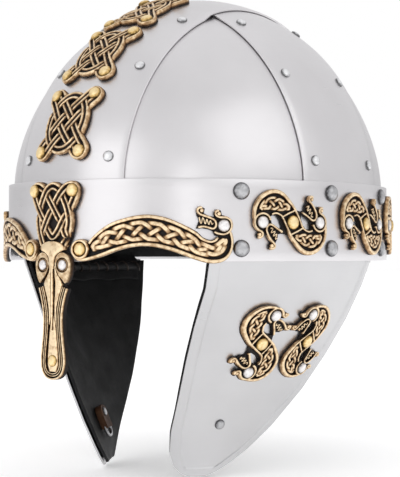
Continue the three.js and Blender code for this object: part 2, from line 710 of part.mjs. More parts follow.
/** Hinge leather: down inside the lining, over the flap's top edge and down its inside. */
function hingeGeometry() {
  const liningInside = -SHEET - LINING_GAP - LEATHER;
  const turnAt = (share) => {
    const point = flapPoint(share, 0, 0);
    return Math.atan2(point.x / HALF_WIDTH, -point.y / HALF_LENGTH);
  };
  const place = (share, level, w) => {
    const wall = wallPoint(turnAt(share), level, liningInside - HINGE_GAP - (1 - w) * LEATHER);
    const drop = Math.max(-level, 0);
    const flap = flapPoint(share, drop, FLAP_BACK - HINGE_GAP - (1 - w) * LEATHER);
    const swing = ease((HINGE_TURN_TOP - level) / (HINGE_TURN_TOP - HINGE_TURN_END));
    return new THREE.Vector3(
      THREE.MathUtils.lerp(wall.x, flap.x, swing),
      THREE.MathUtils.lerp(wall.y, flap.y, swing),
      level,
    );
  };
  const turns = [1, 0.75, 0.5, 0.25, 0].map((part) => (
    THREE.MathUtils.lerp(HINGE_TURN_END, HINGE_TURN_TOP, part)
  ));
  const levels = [HINGE_RISE, ...turns, -HINGE_FALL];
  return griddedSheet([HINGE_START, ...FLAP_LINES, HINGE_END], levels, place);
}

/** A tube along a curve. */
function tube(curve, diameter, sides, steps) {
  const section = new THREE.Shape();
  section.absarc(0, 0, diameter / 2, 0, 2 * Math.PI);
  return bare(new THREE.ExtrudeGeometry(section, {
    steps, curveSegments: sides, bevelEnabled: false, extrudePath: curve,
  }));
}

/** The laced roll along the inside of the hinge leather. */
function rollGeometry() {
  const inside = FLAP_BACK - HINGE_GAP - LEATHER - ROLL_GAP - ROLL_DIAMETER / 2;
  const points = [HINGE_START * 1.6, ...FLAP_LINES, HINGE_END * 0.98].map((share) => (
    flapPoint(share, -ROLL_LEVEL, inside)
  ));
  return facingOut(tube(new THREE.CatmullRomCurve3(points), ROLL_DIAMETER, 3, 11));
}

/** Where the chin tab hangs: from the rivet, on the inside of the flap's leather. */
function tabPoint(across, down, inward) {
  const face = flapFace(FLAP_RIVET);
  return face(across, -down, FLAP_BACK - SHEET - SEAM_GAP - inward);
}

/** A ring lying flat at mid thickness of the folded tab, with its wire inside the tab's end. */
function flatRing(wireDiameter) {
  const ring = new THREE.TorusGeometry((RING_DIAMETER - RING_WIRE) / 2, wireDiameter / 2, 5, 12);
  const drop = TAB_LENGTH - TAB_FOLD + (RING_DIAMETER - RING_WIRE) / 2;
  return facingOut(bare(ring)).translate(0, -drop, LEATHER);
}

/** The tab: a strip folded double over the ring's wire and riveted at its round top. */
function tabGeometry() {
  const flat = new THREE.Shape();
  const half = TAB_WIDTH / 2;
  flat.moveTo(half, -TAB_LENGTH);
  flat.lineTo(half, 0);
  flat.absarc(0, 0, half, 0, Math.PI, false);
  flat.lineTo(-half, -TAB_LENGTH);
  const strip = solidOf(plate(flat, LEATHER * 2));
  const groove = solidOf(flatRing(RING_WIRE + SEAM_GAP));
  return bend(geometryOf(strip.subtract(groove)), (x, y, z) => tabPoint(x, -y, z));
}

/** The wire ring that hangs in the tab's fold. */
function ringGeometry() {
  return bend(flatRing(RING_WIRE), (x, y, z) => tabPoint(x, -y, z));
}

/** Adds a piece on the wearer's left and its mirror on the right. */
function addPair(name, geometry, look) {
  addPiece(`${name}_left`, geometry, look);
  addPiece(`${name}_right`, mirrored(geometry), look);
}

// Shell
const frontBand = strapGeometry(frontStrap, FRONT_BAND_WIDTH, STRAP_COLUMNS, FRONT_STRAP_ROWS, frontBandPoint);
addPiece('front_back_band', frontBand, steel);
const sideBandPoint = (across, run, offset) => strapPoint(sideStrap, across, run, STRAP_OFFSET + offset);
const sideBand = strapGeometry(sideStrap, SIDE_BAND_WIDTH, STRAP_COLUMNS, SIDE_STRAP_ROWS, sideBandPoint);
addPiece('side_band', sideBand, steel);
const frontPanel = panelGeometry();
const backPanel = bend(frontPanel, (x, y, z) => new THREE.Vector3(x, -y, z));
addPair('panel_front', frontPanel, steel);
addPair('panel_back', backPanel, steel);
addPiece('brow_band', browBandGeometry(), steel);
addPiece('lining_band', liningBandGeometry(), blackLeather);

// Castings on the face
addPiece('nasal', nasalGeometry(), bronze);
addPair('eyebrow', eyebrowGeometry(), bronze);
const knot = flatKnot();
for (const [place, run] of Object.entries(KNOT_RUNS)) {
  const onBand = (u, v, w) => frontBandPoint(u, v, SHEET + w);
  addPiece(`knot_plaque_${place}`, laid(knot, onBand, { u: 0, v: run }, 0, 1), bronze);
}

// Dragons round the brow, between the rivet pairs, with one at the nape
const dragon = flatDragon();
for (let place = 0; place < BROW_RIVET_PAIRS - 1; place += 1) {
  const turn = pairTurn(place + 0.5);
  const centre = { u: runAtTurn(turn), v: DRAGON_LEVEL };
  const onBrow = laid(dragon, browFace, centre, 0, 1);
  addPair(`brow_dragon_${place + 1}`, onBrow, bronze);
}
const napeFace = (u, v, w) => {
  const point = browFace(u, v, w);
  return new THREE.Vector3(-point.x, -point.y, point.z);
};
addPiece('brow_dragon_nape', laid(dragon, napeFace, { u: 0, v: DRAGON_LEVEL }, 0, 1), bronze);

// Cheek flaps
addPair('cheek_flap', flapGeometry(), steel);
addPair('cheek_lining', flapLiningGeometry(), blackLeather);
const quarterTurn = Math.PI / 2;
for (const [place, share] of Object.entries(FLAP_DRAGON_SHARES)) {
  const flip = place === 'front' ? -1 : 1;
  const face = flapFace({ share, drop: FLAP_DRAGON_DROP });
  const angle = quarterTurn + flip * FLAP_DRAGON_LEAN;
  addPair(`cheek_dragon_${place}`, laid(dragon, face, { u: 0, v: 0 }, angle, flip), bronze);
}
addPair('hinge_leather', hingeGeometry(), blackLeather);
addPair('hinge_roll', rollGeometry(), blackLeather);
addPair('chin_tab', tabGeometry(), brownLeather);
addPair('chin_ring', ringGeometry(), wire);

export default helmet;
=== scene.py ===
"""Looks of a spangenhelm: riveted satin steel, antiqued bronze castings and laced black leather.

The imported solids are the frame, and every piece here takes the place of one of them. Lengths are
millimetres until a piece is finished, when its mesh is brought to metres. Z is up, the face looks
along -Y and +X is the wearer's left. A flat pattern is drawn in (u, v, w): u to the wearer's left
or rear, v up and w out of the surface that it is laid on.
"""

import logging
import math
from dataclasses import dataclass, field
from enum import Enum
from typing import Callable, Sequence

import bmesh
import bpy
import numpy as np
from mathutils import Matrix, Vector
from mathutils.bvhtree import BVHTree


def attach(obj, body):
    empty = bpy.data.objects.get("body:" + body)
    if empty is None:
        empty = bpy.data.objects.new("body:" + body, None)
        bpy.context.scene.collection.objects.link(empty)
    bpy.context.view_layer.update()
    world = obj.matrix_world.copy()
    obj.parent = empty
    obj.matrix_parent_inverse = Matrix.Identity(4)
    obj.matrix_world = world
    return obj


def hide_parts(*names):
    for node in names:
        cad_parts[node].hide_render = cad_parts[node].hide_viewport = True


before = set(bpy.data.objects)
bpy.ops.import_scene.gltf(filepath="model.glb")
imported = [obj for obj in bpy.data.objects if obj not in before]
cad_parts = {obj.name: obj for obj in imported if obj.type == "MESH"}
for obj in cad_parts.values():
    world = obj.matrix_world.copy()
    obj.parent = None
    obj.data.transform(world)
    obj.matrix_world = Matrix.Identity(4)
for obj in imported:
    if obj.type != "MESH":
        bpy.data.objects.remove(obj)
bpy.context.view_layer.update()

Surface = Callable[[float, float, float], Vector]
Point = tuple[float, float]
Triple = tuple[float, float, float]
Points = Sequence[Point]
Place = Callable[[int, int], tuple[Vector, float]]
Material = bpy.types.Material
Socket = bpy.types.NodeSocket

MM = 0.001
FULL_TURN = 2 * math.pi
TINY = 1e-9
SAME = 1e-6
DIP_SHADE = 0.7
SHARP_FROM = math.radians(38)
BEVEL_FROM = math.radians(50)
EVEN = (1.0, 1.0, 1.0)
ROOT = "root"
log = logging.getLogger("spangenhelm")


class Side(Enum):
    """The wearer's left, which is drawn, or the right, which is its mirror."""

    LEFT = "left"
    RIGHT = "right"


class Ridge(Enum):
    """Half the cross section of a cast strap, as far as its middle.

    Each row has a place across it, a height and how brightly it is worn.
    """

    SINGLE = ((-1.0, 0.0, 0.0), (-1.0, 0.55, 0.0), (-0.86, 0.82, 0.4), (-0.5, 0.97, 0.95), (0.0, 1.0, 1.0))
    DOUBLE = ((-1.0, 0.0, 0.0), (-1.0, 0.6, 0.0), (-0.9, 0.86, 0.45), (-0.68, 1.0, 1.0), (-0.4, 0.95, 0.9),
              (-0.2, 0.7, 0.1), (0.0, 0.55, 0.0))
    BROAD = ((-1.0, 0.0, 0.0), (-1.0, 0.7, 0.0), (-0.93, 0.88, 0.6), (-0.75, 0.97, 1.0), (-0.4, 1.0, 1.0),
             (0.0, 1.02, 1.0))

    def section(self) -> list[Triple]:
        """Returns the whole section, from the left foot to the right one."""
        return [*self.value, *((-across, *rest) for across, *rest in self.value[-2::-1])]


class Graph:
    """A node tree, to which nodes are added and linked."""

    def __init__(self, owner: "Material | bpy.types.World") -> None:
        """Starts on the owner's own tree."""
        owner.use_nodes = True
        self.owner = owner
        self.tree = owner.node_tree
        self.shader = self.tree.nodes.get("Principled BSDF")

    def link(self, source: Socket, target: Socket) -> None:
        """Links two sockets."""
        self.tree.links.new(source, target)

    def add(self, kind: str, output: str, sources: "dict[str | int, Socket] | None" = None,
            **values: object) -> Socket:
        """Adds a node.

        Args:
            kind: what follows ShaderNode in the node's type.
            output: the output's name.
            sources: what is linked to its inputs.
            values: its properties and inputs, with spaces as underscores.

        Returns:
            The output's socket.
        """
        node = self.tree.nodes.new(f"ShaderNode{kind}")
        for key, value in values.items():
            if hasattr(node, key):
                setattr(node, key, value)
            else:
                node.inputs[key.replace("_", " ")].default_value = value
        for key, source in (sources or {}).items():
            self.link(source, node.inputs[key])
        return node.outputs[output]

    def place(self, stretch: Triple = EVEN) -> Socket:
        """Object coordinates, stretched on each axis."""
        return self.add("Mapping", "Vector", {"Vector": self.add("TexCoord", "Object")}, Scale=stretch)

    def noise(self, scale: float, detail: float, stretch: Triple = EVEN) -> Socket:
        """Noise on the piece, by its fineness per metre, its octaves and its stretch on each axis."""
        return self.add("TexNoise", "Fac", {"Vector": self.place(stretch)}, Scale=scale, Detail=detail)

    def relief(self) -> Socket:
        """How brightly each corner of the piece is coloured: worn bright where it stands out, with painted
        shade under crossings, at wall feet and at rivet rims, and a painted highlight on open walls.
        """
        return self.add("Attribute", "Fac", attribute_name="relief")

    def span(self, source: Socket, low: float, high: float, start: float = 0.3, end: float = 0.7) -> Socket:
        """Brings a factor from the range of start to end to that of low to high."""
        return self.add("MapRange", "Result", {"Value": source},
                        From_Min=start, From_Max=end, To_Min=low, To_Max=high)

    def ramp(self, source: Socket, stops: Sequence[tuple[float, Triple]]) -> Socket:
        """Colours a factor.

        Args:
            source: the factor.
            stops: places and colours.

        Returns:
            The colour.
        """
        colour = self.add("ValToRGB", "Color", {"Fac": source})
        elements = colour.node.color_ramp.elements
        while len(elements) < len(stops):
            elements.new(0.5)
        for element, (place, tone) in zip(elements, stops):
            element.position = place
            element.color = (*tone, 1.0)
        return colour

    def math(self, operation: str, first: Socket, second: "Socket | float") -> Socket:
        """One sum on factors.

        Args:
            operation: the node's operation.
            first: the first factor.
            second: the second factor or a number.

        Returns:
            The result.
        """
        result = self.add("Math", "Value", operation=operation)
        self.link(first, result.node.inputs[0])
        if isinstance(second, float):
            result.node.inputs[1].default_value = second
        else:
            self.link(second, result.node.inputs[1])
        return result

    def dress(self, **looks: "Socket | float | tuple") -> None:
        """Sets or links the shader's inputs, named with spaces as underscores."""
        for key, look in looks.items():
            target = self.shader.inputs[key.replace("_", " ")]
            if isinstance(look, Socket):
                self.link(look, target)
            else:
                target.default_value = look

    def bump(self, height: Socket, strength: float, distance: float) -> None:
        """Puts a height on the shader's normal, by how much of it is used and its full height in metres."""
        normal = self.add("Bump", "Normal", {"Height": height}, Strength=strength, Distance=distance)
        self.dress(Normal=normal)


@dataclass(frozen=True)
class SteelFinish:
    """Satin steel with fine upright brushing, faint clouds and slow waves."""

    name: str = "satin_steel"
    dark: Triple = (0.71, 0.695, 0.705)
    light: Triple = (0.785, 0.77, 0.78)
    rough: float = 0.33
    brushing: float = 0.035
    brushed: Triple = (0.05, 0.05, 1.0)
    waved: Triple = (1.0, 1.0, 0.5)

    def make(self) -> Material:
        """Returns the node material."""
        graph = Graph(bpy.data.materials.new(self.name))
        clouds = graph.noise(16.0, 4.0)
        lines = graph.noise(1500.0, 5.0, self.brushed)
        worn = graph.math("ADD", graph.span(lines, -self.brushing, self.brushing),
                          graph.span(clouds, self.rough - 0.03, self.rough + 0.05))
        graph.dress(Metallic=1.0, Roughness=worn,
                    Base_Color=graph.ramp(clouds, ((0.3, self.dark), (0.7, self.light))))
        waves = graph.noise(22.0, 2.0, self.waved)
        graph.bump(graph.math("ADD", waves, graph.math("MULTIPLY", lines, 0.006)), 0.5, 0.0011)
        return graph.owner


@dataclass(frozen=True)
class BronzeFinish:
    """Antiqued bronze: polished on the ridges, brown to black in the hollows."""

    name: str = "antique_bronze"
    hollow: Triple = (0.010, 0.006, 0.005)
    brown: Triple = (0.10, 0.05, 0.022)
    worn: Triple = (0.50, 0.32, 0.17)
    bright: Triple = (0.97, 0.77, 0.51)
    rough: float = 0.3

    def make(self) -> Material:
        """Returns the node material."""
        graph = Graph(bpy.data.materials.new(self.name))
        # The relief carries wear and patina, and also painted shade and highlight set on walls and at
        # crossings.
        wear_and_painted_light = graph.math("ADD", graph.relief(), graph.span(graph.noise(420.0, 4.0), -0.2, 0.08))
        stops = ((0.15, self.hollow), (0.46, self.brown), (0.74, self.worn), (0.95, self.bright))
        graph.dress(Base_Color=graph.ramp(wear_and_painted_light, stops), Metallic=graph.span(wear_and_painted_light, 0.35, 1.0, 0.1, 0.6),
                    Roughness=graph.span(wear_and_painted_light, 0.62, self.rough, 0.1, 0.9))
        graph.bump(graph.noise(2600.0, 3.0), 0.25, 0.00006)
        return graph.owner


@dataclass(frozen=True)
class RivetFinish:
    """A polished rivet head with a duller, spotted skin and painted shade darkening its edge."""

    name: str
    dark: Triple
    light: Triple
    rough: float = 0.24

    def make(self) -> Material:
        """Returns the node material."""
        graph = Graph(bpy.data.materials.new(self.name))
        spots = graph.noise(700.0, 4.0)
        # The relief here falls to nothing at the rim, so the rim takes the edge tone, a third of the dark
        # one: painted shade.
        worn = graph.math("ADD", graph.relief(), graph.span(spots, -0.3, 0.1, 0.3, 0.65))
        edge = tuple(0.3 * tone for tone in self.dark)
        graph.dress(Metallic=1.0, Roughness=graph.span(spots, self.rough + 0.12, self.rough),
                    Base_Color=graph.ramp(worn, ((0.05, edge), (0.4, self.dark), (0.9, self.light))))
        graph.bump(spots, 0.2, 0.00008)
        return graph.owner


@dataclass(frozen=True)
class LeatherFinish:
    """Tanned leather with pebbled grain, creases and rubbed high spots."""

    name: str
    deep: Triple
    rubbed: Triple
    rough: float = 0.5
    pebbled: float = 1100.0
    creased: Triple = (1.0, 1.0, 0.35)

    def make(self) -> Material:
        """Returns the node material."""
        graph = Graph(bpy.data.materials.new(self.name))
        clouds = graph.noise(55.0, 5.0)
        cells = graph.add("TexVoronoi", "Distance", {"Vector": graph.place()},
                          feature="DISTANCE_TO_EDGE", Scale=self.pebbled)
        pebbles = graph.span(cells, 0.0, 1.0, 0.0, 0.22)
        graph.dress(Specular_IOR_Level=0.24,
                    Base_Color=graph.ramp(clouds, ((0.35, self.deep), (0.75, self.rubbed))),
                    Roughness=graph.span(clouds, self.rough + 0.12, self.rough - 0.06, 0.3, 0.75))
        creases = graph.noise(190.0, 6.0, self.creased)
        graph.bump(graph.math("ADD", graph.math("MULTIPLY", pebbles, 0.35), creases), 0.6, 0.0006)
        return graph.owner


@dataclass(frozen=True)
class Finishes:
    """Every material of the helmet, made once."""

    steel: Material = field(default_factory=SteelFinish().make)
    # Painted shade: the flaps' steel is a darker copy of the bowl's steel.
    flap: Material = field(default_factory=SteelFinish(
        "flap_steel_painted_shade", (0.59, 0.587, 0.595), (0.66, 0.657, 0.665)).make)
    bronze: Material = field(default_factory=BronzeFinish().make)
    brass: Material = field(default_factory=RivetFinish(
        "rivet_brass", (0.70, 0.46, 0.17), (1.0, 0.80, 0.46), 0.34).make)
    silver: Material = field(default_factory=RivetFinish(
        "rivet_silver", (0.62, 0.58, 0.56), (0.93, 0.91, 0.90), 0.34).make)
    # Painted shade: these steel rivets are set darker, standing in for the dark surroundings that a domed
    # head reflects.
    stud: Material = field(default_factory=RivetFinish(
        "rivet_steel", (0.27, 0.27, 0.28), (0.53, 0.53, 0.54), 0.3).make)
    satin: Material = field(default_factory=RivetFinish(
        "rivet_satin", (0.58, 0.58, 0.59), (0.88, 0.88, 0.89), 0.3).make)
    black: Material = field(default_factory=LeatherFinish(
        "black_leather", (0.003, 0.003, 0.003), (0.011, 0.011, 0.012)).make)
    thong: Material = field(default_factory=LeatherFinish(
        "laced_thong", (0.012, 0.009, 0.008), (0.07, 0.052, 0.042), 0.42).make)
    brown: Material = field(default_factory=LeatherFinish(
        "brown_leather", (0.055, 0.022, 0.010), (0.16, 0.075, 0.035)).make)
    wire: Material = field(default_factory=SteelFinish(
        "drawn_wire", (0.30, 0.30, 0.31), (0.55, 0.55, 0.56), 0.26).make)


def ease(value: float) -> float:
    """Smooth step from 0 to 1."""
    share = min(max(value, 0.0), 1.0)
    return share * share * (3 - 2 * share)


def scaled(points: Points, across: float, up: float) -> list[Point]:
    """Flat points, scaled or mirrored on each axis."""
    return [(u * across, v * up) for u, v in points]


def oval(centre: Point, wide: float, high: float, count: int) -> list[Point]:
    """Points round an oval, by its two radii."""
    return [(centre[0] + wide * math.cos(angle), centre[1] + high * math.sin(angle))
            for angle in np.linspace(0, FULL_TURN, count, endpoint=False)]


def dome(radius: float, rise: float, base: float, count: int) -> list[Point]:
    """Radii and heights down a quarter of an oval, from its top."""
    return [(radius * math.sin(angle), base + rise * math.cos(angle))
            for angle in np.linspace(0, math.pi / 2, count)]


def runs_along(line: np.ndarray) -> np.ndarray:
    """Length from a line's start to each of its corners."""
    return np.concatenate([[0], np.cumsum(np.linalg.norm(np.diff(line, axis=0), axis=1))])


def is_loop(line: np.ndarray) -> bool:
    """Whether a line ends where it starts."""
    return bool(np.allclose(line[0], line[-1], atol=SAME))


def normals_of(line: np.ndarray) -> np.ndarray:
    """Unit normals to the left of a flat line, at its corners."""
    way = np.gradient(line, axis=0)
    if is_loop(line):
        way[0] = way[-1] = line[1] - line[-2]
    way /= np.maximum(np.linalg.norm(way, axis=1, keepdims=True), TINY)
    return np.column_stack([-way[:, 1], way[:, 0]])


def smooth_path(points: Points, step: float, closed: bool = False) -> np.ndarray:
    """A smooth line through points, with corners at even lengths.

    Args:
        points: the points that it passes.
        step: the length between its corners.
        closed: whether it returns to its start.

    Returns:
        Rows of u and v. A closed line repeats its first row at the end.
    """
    knots = np.array(points, dtype=float)
    if closed:
        knots = np.vstack([knots[-1], knots, knots[:2]])
    else:
        knots = np.vstack([2 * knots[0] - knots[1], knots, 2 * knots[-1] - knots[-2]])
    dense = []
    for before, start, end, after in zip(knots, knots[1:], knots[2:], knots[3:]):
        for share in np.linspace(0, 1, 12, endpoint=False):
            square, cube = share ** 2, share ** 3
            dense.append(0.5 * (2 * start + (end - before) * share
                                + (2 * before - 5 * start + 4 * end - after) * square
                                + (3 * start - before - 3 * end + after) * cube))
    dense.append(knots[-2])
    line = np.array(dense)
    runs = runs_along(line)
    marks = np.linspace(0, runs[-1], max(int(runs[-1] / step), 4) + 1)
    return np.column_stack([np.interp(marks, runs, line[:, axis]) for axis in (0, 1)])


def crossings(lines: Sequence[np.ndarray]) -> list[tuple[int, float, int, float]]:
    """Finds where lines cross themselves and each other.

    Args:
        lines: rows of u and v.

    Returns:
        For each crossing, the first line and the place along it, and the second line and its place.
    """
    starts = np.vstack([line[:-1] for line in lines])
    steps = np.vstack([np.diff(line, axis=0) for line in lines])
    owner = np.concatenate([np.full(len(line) - 1, index) for index, line in enumerate(lines)])
    place = np.concatenate([np.arange(len(line) - 1) for line in lines])
    found = []
    for index in range(len(starts)):
        later = slice(index + 2, None)
        across = steps[index][0] * steps[later][:, 1] - steps[index][1] * steps[later][:, 0]
        across = np.where(np.abs(across) < TINY, TINY, across)
        gap = starts[later] - starts[index]
        here = (gap[:, 0] * steps[later][:, 1] - gap[:, 1] * steps[later][:, 0]) / across
        there = (gap[:, 0] * steps[index][1] - gap[:, 1] * steps[index][0]) / across
        hits = np.nonzero((here >= 0) & (here < 1) & (there >= 0) & (there < 1))[0]
        for hit in hits:
            other = index + 2 + int(hit)
            if owner[index] == owner[other] and place[other] - place[index] > len(lines[owner[index]]) - 4:
                continue
            found.append((int(owner[index]), float(place[index] + here[hit]),
                          int(owner[other]), float(place[other] + there[hit])))
    return found


def weave(lines: Sequence[np.ndarray], reach: float, first_over: bool = True) -> list[np.ndarray]:
    """Passes lines over and under each other in turn.

    Args:
        lines: rows of u and v, evenly spaced.
        reach: the length before and after a crossing over which an under line dips.
        first_over: whether the first crossing of the first line is an over one.

    Returns:
        For each line, how far it dips at each corner, from 0 on top to 1 underneath.
    """
    found = crossings(lines)
    passes: list[list[tuple[float, int, int]]] = [[] for _ in lines]
    for index, (first, at_first, second, at_second) in enumerate(found):
        passes[first].append((at_first, index, 0))
        passes[second].append((at_second, index, 1))
    for line_passes in passes:
        line_passes.sort()
    over: dict[tuple[int, int], bool] = {}
    waiting = list(range(len(lines)))
    while waiting:
        known = [line for line in waiting if any((index, end) in over for _, index, end in passes[line])]
        line = known[0] if known else waiting[0]
        waiting.remove(line)
        start, state = 0, first_over
        for order, (_, index, end) in enumerate(passes[line]):
            if (index, end) in over:
                start, state = order, over[(index, end)]
                break
        for order, (_, index, end) in enumerate(passes[line]):
            if (index, end) not in over:
                above = state if (order - start) % 2 == 0 else not state
                over[(index, end)] = above
                over[(index, 1 - end)] = not above
    dips = []
    for line, line_passes in zip(lines, passes):
        step = float(np.linalg.norm(line[1] - line[0]))
        places = np.arange(len(line))
        dip = np.zeros(len(line))
        for at, index, end in line_passes:
            if not over[(index, end)]:
                away = np.abs(places - at)
                if is_loop(line):
                    away = np.minimum(away, len(line) - 1 - away)
                near = np.clip(1 - away * step / reach, 0, 1)
                dip = np.maximum(dip, near ** 2 * (3 - 2 * near))
        dips.append(dip)
    return dips


class LengthTable:
    """Length along a path against its parameter, so that a pattern is placed by its own length."""

    def __init__(self, point_at: Callable[[float], Vector]) -> None:
        """Measures the path that a function gives for parameters from 0 to half a turn."""
        self.at = np.linspace(0, math.pi, 401)
        self.run = runs_along(np.array([tuple(point_at(value)) for value in self.at]))
        self.full = float(self.run[-1])

    def parameter(self, run: float) -> float:
        """The parameter at a length."""
        return float(np.interp(run, self.run, self.at))

    def length(self, at: float) -> float:
        """The length at a parameter."""
        return float(np.interp(at, self.at, self.run))


@dataclass
class Shell:
    """The helmet's bowl: an upright oval wall with a rounded crown on it."""

    half_width: float = 104.0
    half_length: float = 122.0
    rise: float = 111.0
    crown_power: float = 1.73
    brow_height: float = 44.0
    sheet: float = 1.2
    seam: float = 0.55
    crossing_gap: float = 0.3
    crossing_ramp: float = 11.0
    side_band_width: float = 73.0
    arch_rise: float = 10.5
    arch_start: float = math.radians(8)
    arch_end: float = math.radians(47)
    tables: dict[str, LengthTable] = field(default_factory=dict)

    def __post_init__(self) -> None:
        """Measures the brow and the two straps."""
        self.tables["brow"] = LengthTable(lambda turn: self.wall(turn, 0, self.brow_face))
        for name, radius in (("front", self.half_length), ("side", self.half_width)):
            self.tables[name] = LengthTable(
                lambda tilt, radius=radius: Vector((0, radius * math.cos(tilt), self.crown(tilt))))

    @property
    def brow_face(self) -> float:
        """How far the brow band's outside stands off the panels."""
        return 2 * (self.seam + self.sheet)

    def crown(self, tilt: float) -> float:
        """Height of the panels above the brow at a tilt."""
        return self.rise * math.sin(tilt) ** (2 / self.crown_power) if 0 < tilt < math.pi else 0.0

    def point(self, turn: float, tilt: float, offset: float) -> Vector:
        """Point of the bowl.

        Args:
            turn: angle from the face round the wearer's left.
            tilt: from the brow, 0, to the crown, a quarter turn.
            offset: distance outside the panels.

        Returns:
            The point.
        """
        reach = math.cos(tilt)
        height = (self.rise + offset) * max(math.sin(tilt), 0.0) ** (2 / self.crown_power)
        return Vector(((self.half_width + offset) * reach * math.sin(turn),
                       -(self.half_length + offset) * reach * math.cos(turn),
                       self.brow_height + height))

    def wall(self, turn: float, level: float, offset: float) -> Vector:
        """Point of the upright wall round the brow, with the arguments of point."""
        return Vector(((self.half_width + offset) * math.sin(turn),
                       -(self.half_length + offset) * math.cos(turn), level))

    def brow(self, run: float, level: float, lift: float) -> Vector:
        """Point on the brow band by length round it from the face, height and lift off it."""
        turn = math.copysign(self.tables["brow"].parameter(abs(run)), run)
        return self.wall(turn, level, self.brow_face + lift)

    def nape(self, run: float, level: float, lift: float) -> Vector:
        """Point on the brow band by length from the nape."""
        point = self.brow(run, level, lift)
        return Vector((-point.x, -point.y, point.z))

    def arch(self, turn: float) -> float:
        """Height of the rim's lower edge: a shallow arch over each eye."""
        away = turn if turn <= math.pi else FULL_TURN - turn
        inside = min(max((away - self.arch_start) / (self.arch_end - self.arch_start), 0.0), 1.0)
        return self.arch_rise * math.sin(math.pi * inside) ** 2

    def strap(self, name: str, across: float, run: float, offset: float) -> tuple[float, float]:
        """Reach and height of a strap that crosses the crown.

        Args:
            name: front or side.
            across: distance from its middle line.
            run: length from the brow at its first end.
            offset: distance outside the panels.

        Returns:
            The reach towards its first end and the height.
        """
        end, side = self.half_length, self.half_width
        if name == "side":
            end, side = side, end
        table = self.tables[name]
        squeeze = 1 - (across / (side + offset)) ** 2
        tilt = table.parameter(run)
        sine = max(math.sin(tilt), 0.0)
        rise = (self.rise + offset) * (squeeze * sine * sine) ** (1 / self.crown_power)
        beyond = min(run, 0.0) + min(table.full - run, 0.0)
        return (end + offset) * math.sqrt(squeeze) * math.cos(tilt), self.brow_height + rise + beyond

    def front_band(self, across: float, run: float, lift: float) -> Vector:
        """Point on the outside of the front-back band, which climbs over the side band."""
        offset = self.seam + self.sheet + lift
        reach, _ = self.strap("front", across, run, offset)
        away = abs(reach) - self.side_band_width / 2
        climb = (self.sheet + self.crossing_gap) * (1 - ease((away - self.crossing_gap) / self.crossing_ramp))
        reach, height = self.strap("front", across, run, offset + climb)
        return Vector((across, -reach, height))

    def side_band(self, across: float, run: float, lift: float) -> Vector:
        """Point on the outside of the side band."""
        reach, height = self.strap("side", across, run, self.seam + self.sheet + lift)
        return Vector((reach, across, height))


@dataclass
class FlapShape:
    """The left cheek flap's bowed sheet, between a front and a rear rail.

    The rails are rows of drop, front x, front y, rear x and rear y.
    """

    drop: float = 122.5
    bulge: float = 18.0
    border: float = 7.0
    border_rise: float = 1.0
    border_step: float = 2.0
    sheet: float = 1.2
    rails: tuple[tuple[float, ...], ...] = (
        (0.0, 68.7, -82.0, 89.5, 47.5), (14.9, 64.1, -79.5, 86.2, 42.9),
        (35.0, 55.6, -78.4, 80.4, 34.5), (55.0, 47.3, -75.4, 73.7, 23.2),
        (75.0, 39.8, -72.3, 66.5, 9.2), (95.1, 31.8, -69.1, 58.0, -9.0),
        (108.0, 27.6, -65.0, 50.6, -22.4), (116.0, 26.8, -60.5, 44.5, -32.5),
        (120.5, 28.6, -55.5, 40.0, -39.5), (122.5, 31.5, -51.0, 36.5, -45.0),
    )

    def chord(self, drop: float) -> tuple[Vector, Vector]:
        """Front end of the chord at a drop, and the way from there to the rear end."""
        table = np.array(self.rails)
        read = [float(np.interp(drop, table[:, 0], table[:, column])) for column in range(1, 5)]
        front = Vector(read[:2])
        return front, Vector(read[2:]) - front

    def point(self, share: float, drop: float, offset: float) -> Vector:
        """Point of the flap.

        Args:
            share: from the front edge, 0, to the rear edge, 1.
            drop: distance below the rim.
            offset: distance outside its inner face.

        Returns:
            The point.
        """
        front, chord = self.chord(drop)
        outward = Vector((chord.y, -chord.x)).normalized()
        full = self.chord(0.0)[1].length
        bulge = self.bulge * (chord.length / full) ** 2 * 4 * share * (1 - share)
        place = front + chord * share + outward * (bulge + offset)
        return Vector((place.x, place.y, -drop))

    def face(self, share: float, drop: float) -> Surface:
        """The flap's outside as a surface for ornament, by lengths from a centre.

        Args:
            share: the centre's place from front to rear.
            drop: the centre's distance below the rim.

        Returns:
            A function of the length to the rear, the length up and the lift.
        """
        front, chord = self.chord(drop)
        rearward = chord.normalized()
        along = front.dot(rearward) + share * chord.length
        lean = (self.point(share, drop + 1, 0) - self.point(share, drop, 0)).length

        def place(across: float, up: float, lift: float) -> Vector:
            here = drop - up / lean
            start, way = self.chord(here)
            part = (along + across - start.dot(rearward)) / way.dot(rearward)
            return self.point(part, here, self.sheet + lift)

        return place

    def raised(self, inside: float) -> float:
        """Height of the raised border at a distance inside the flap's outline."""
        return self.border_rise * (1 - ease((inside - self.border + self.border_step) / self.border_step))


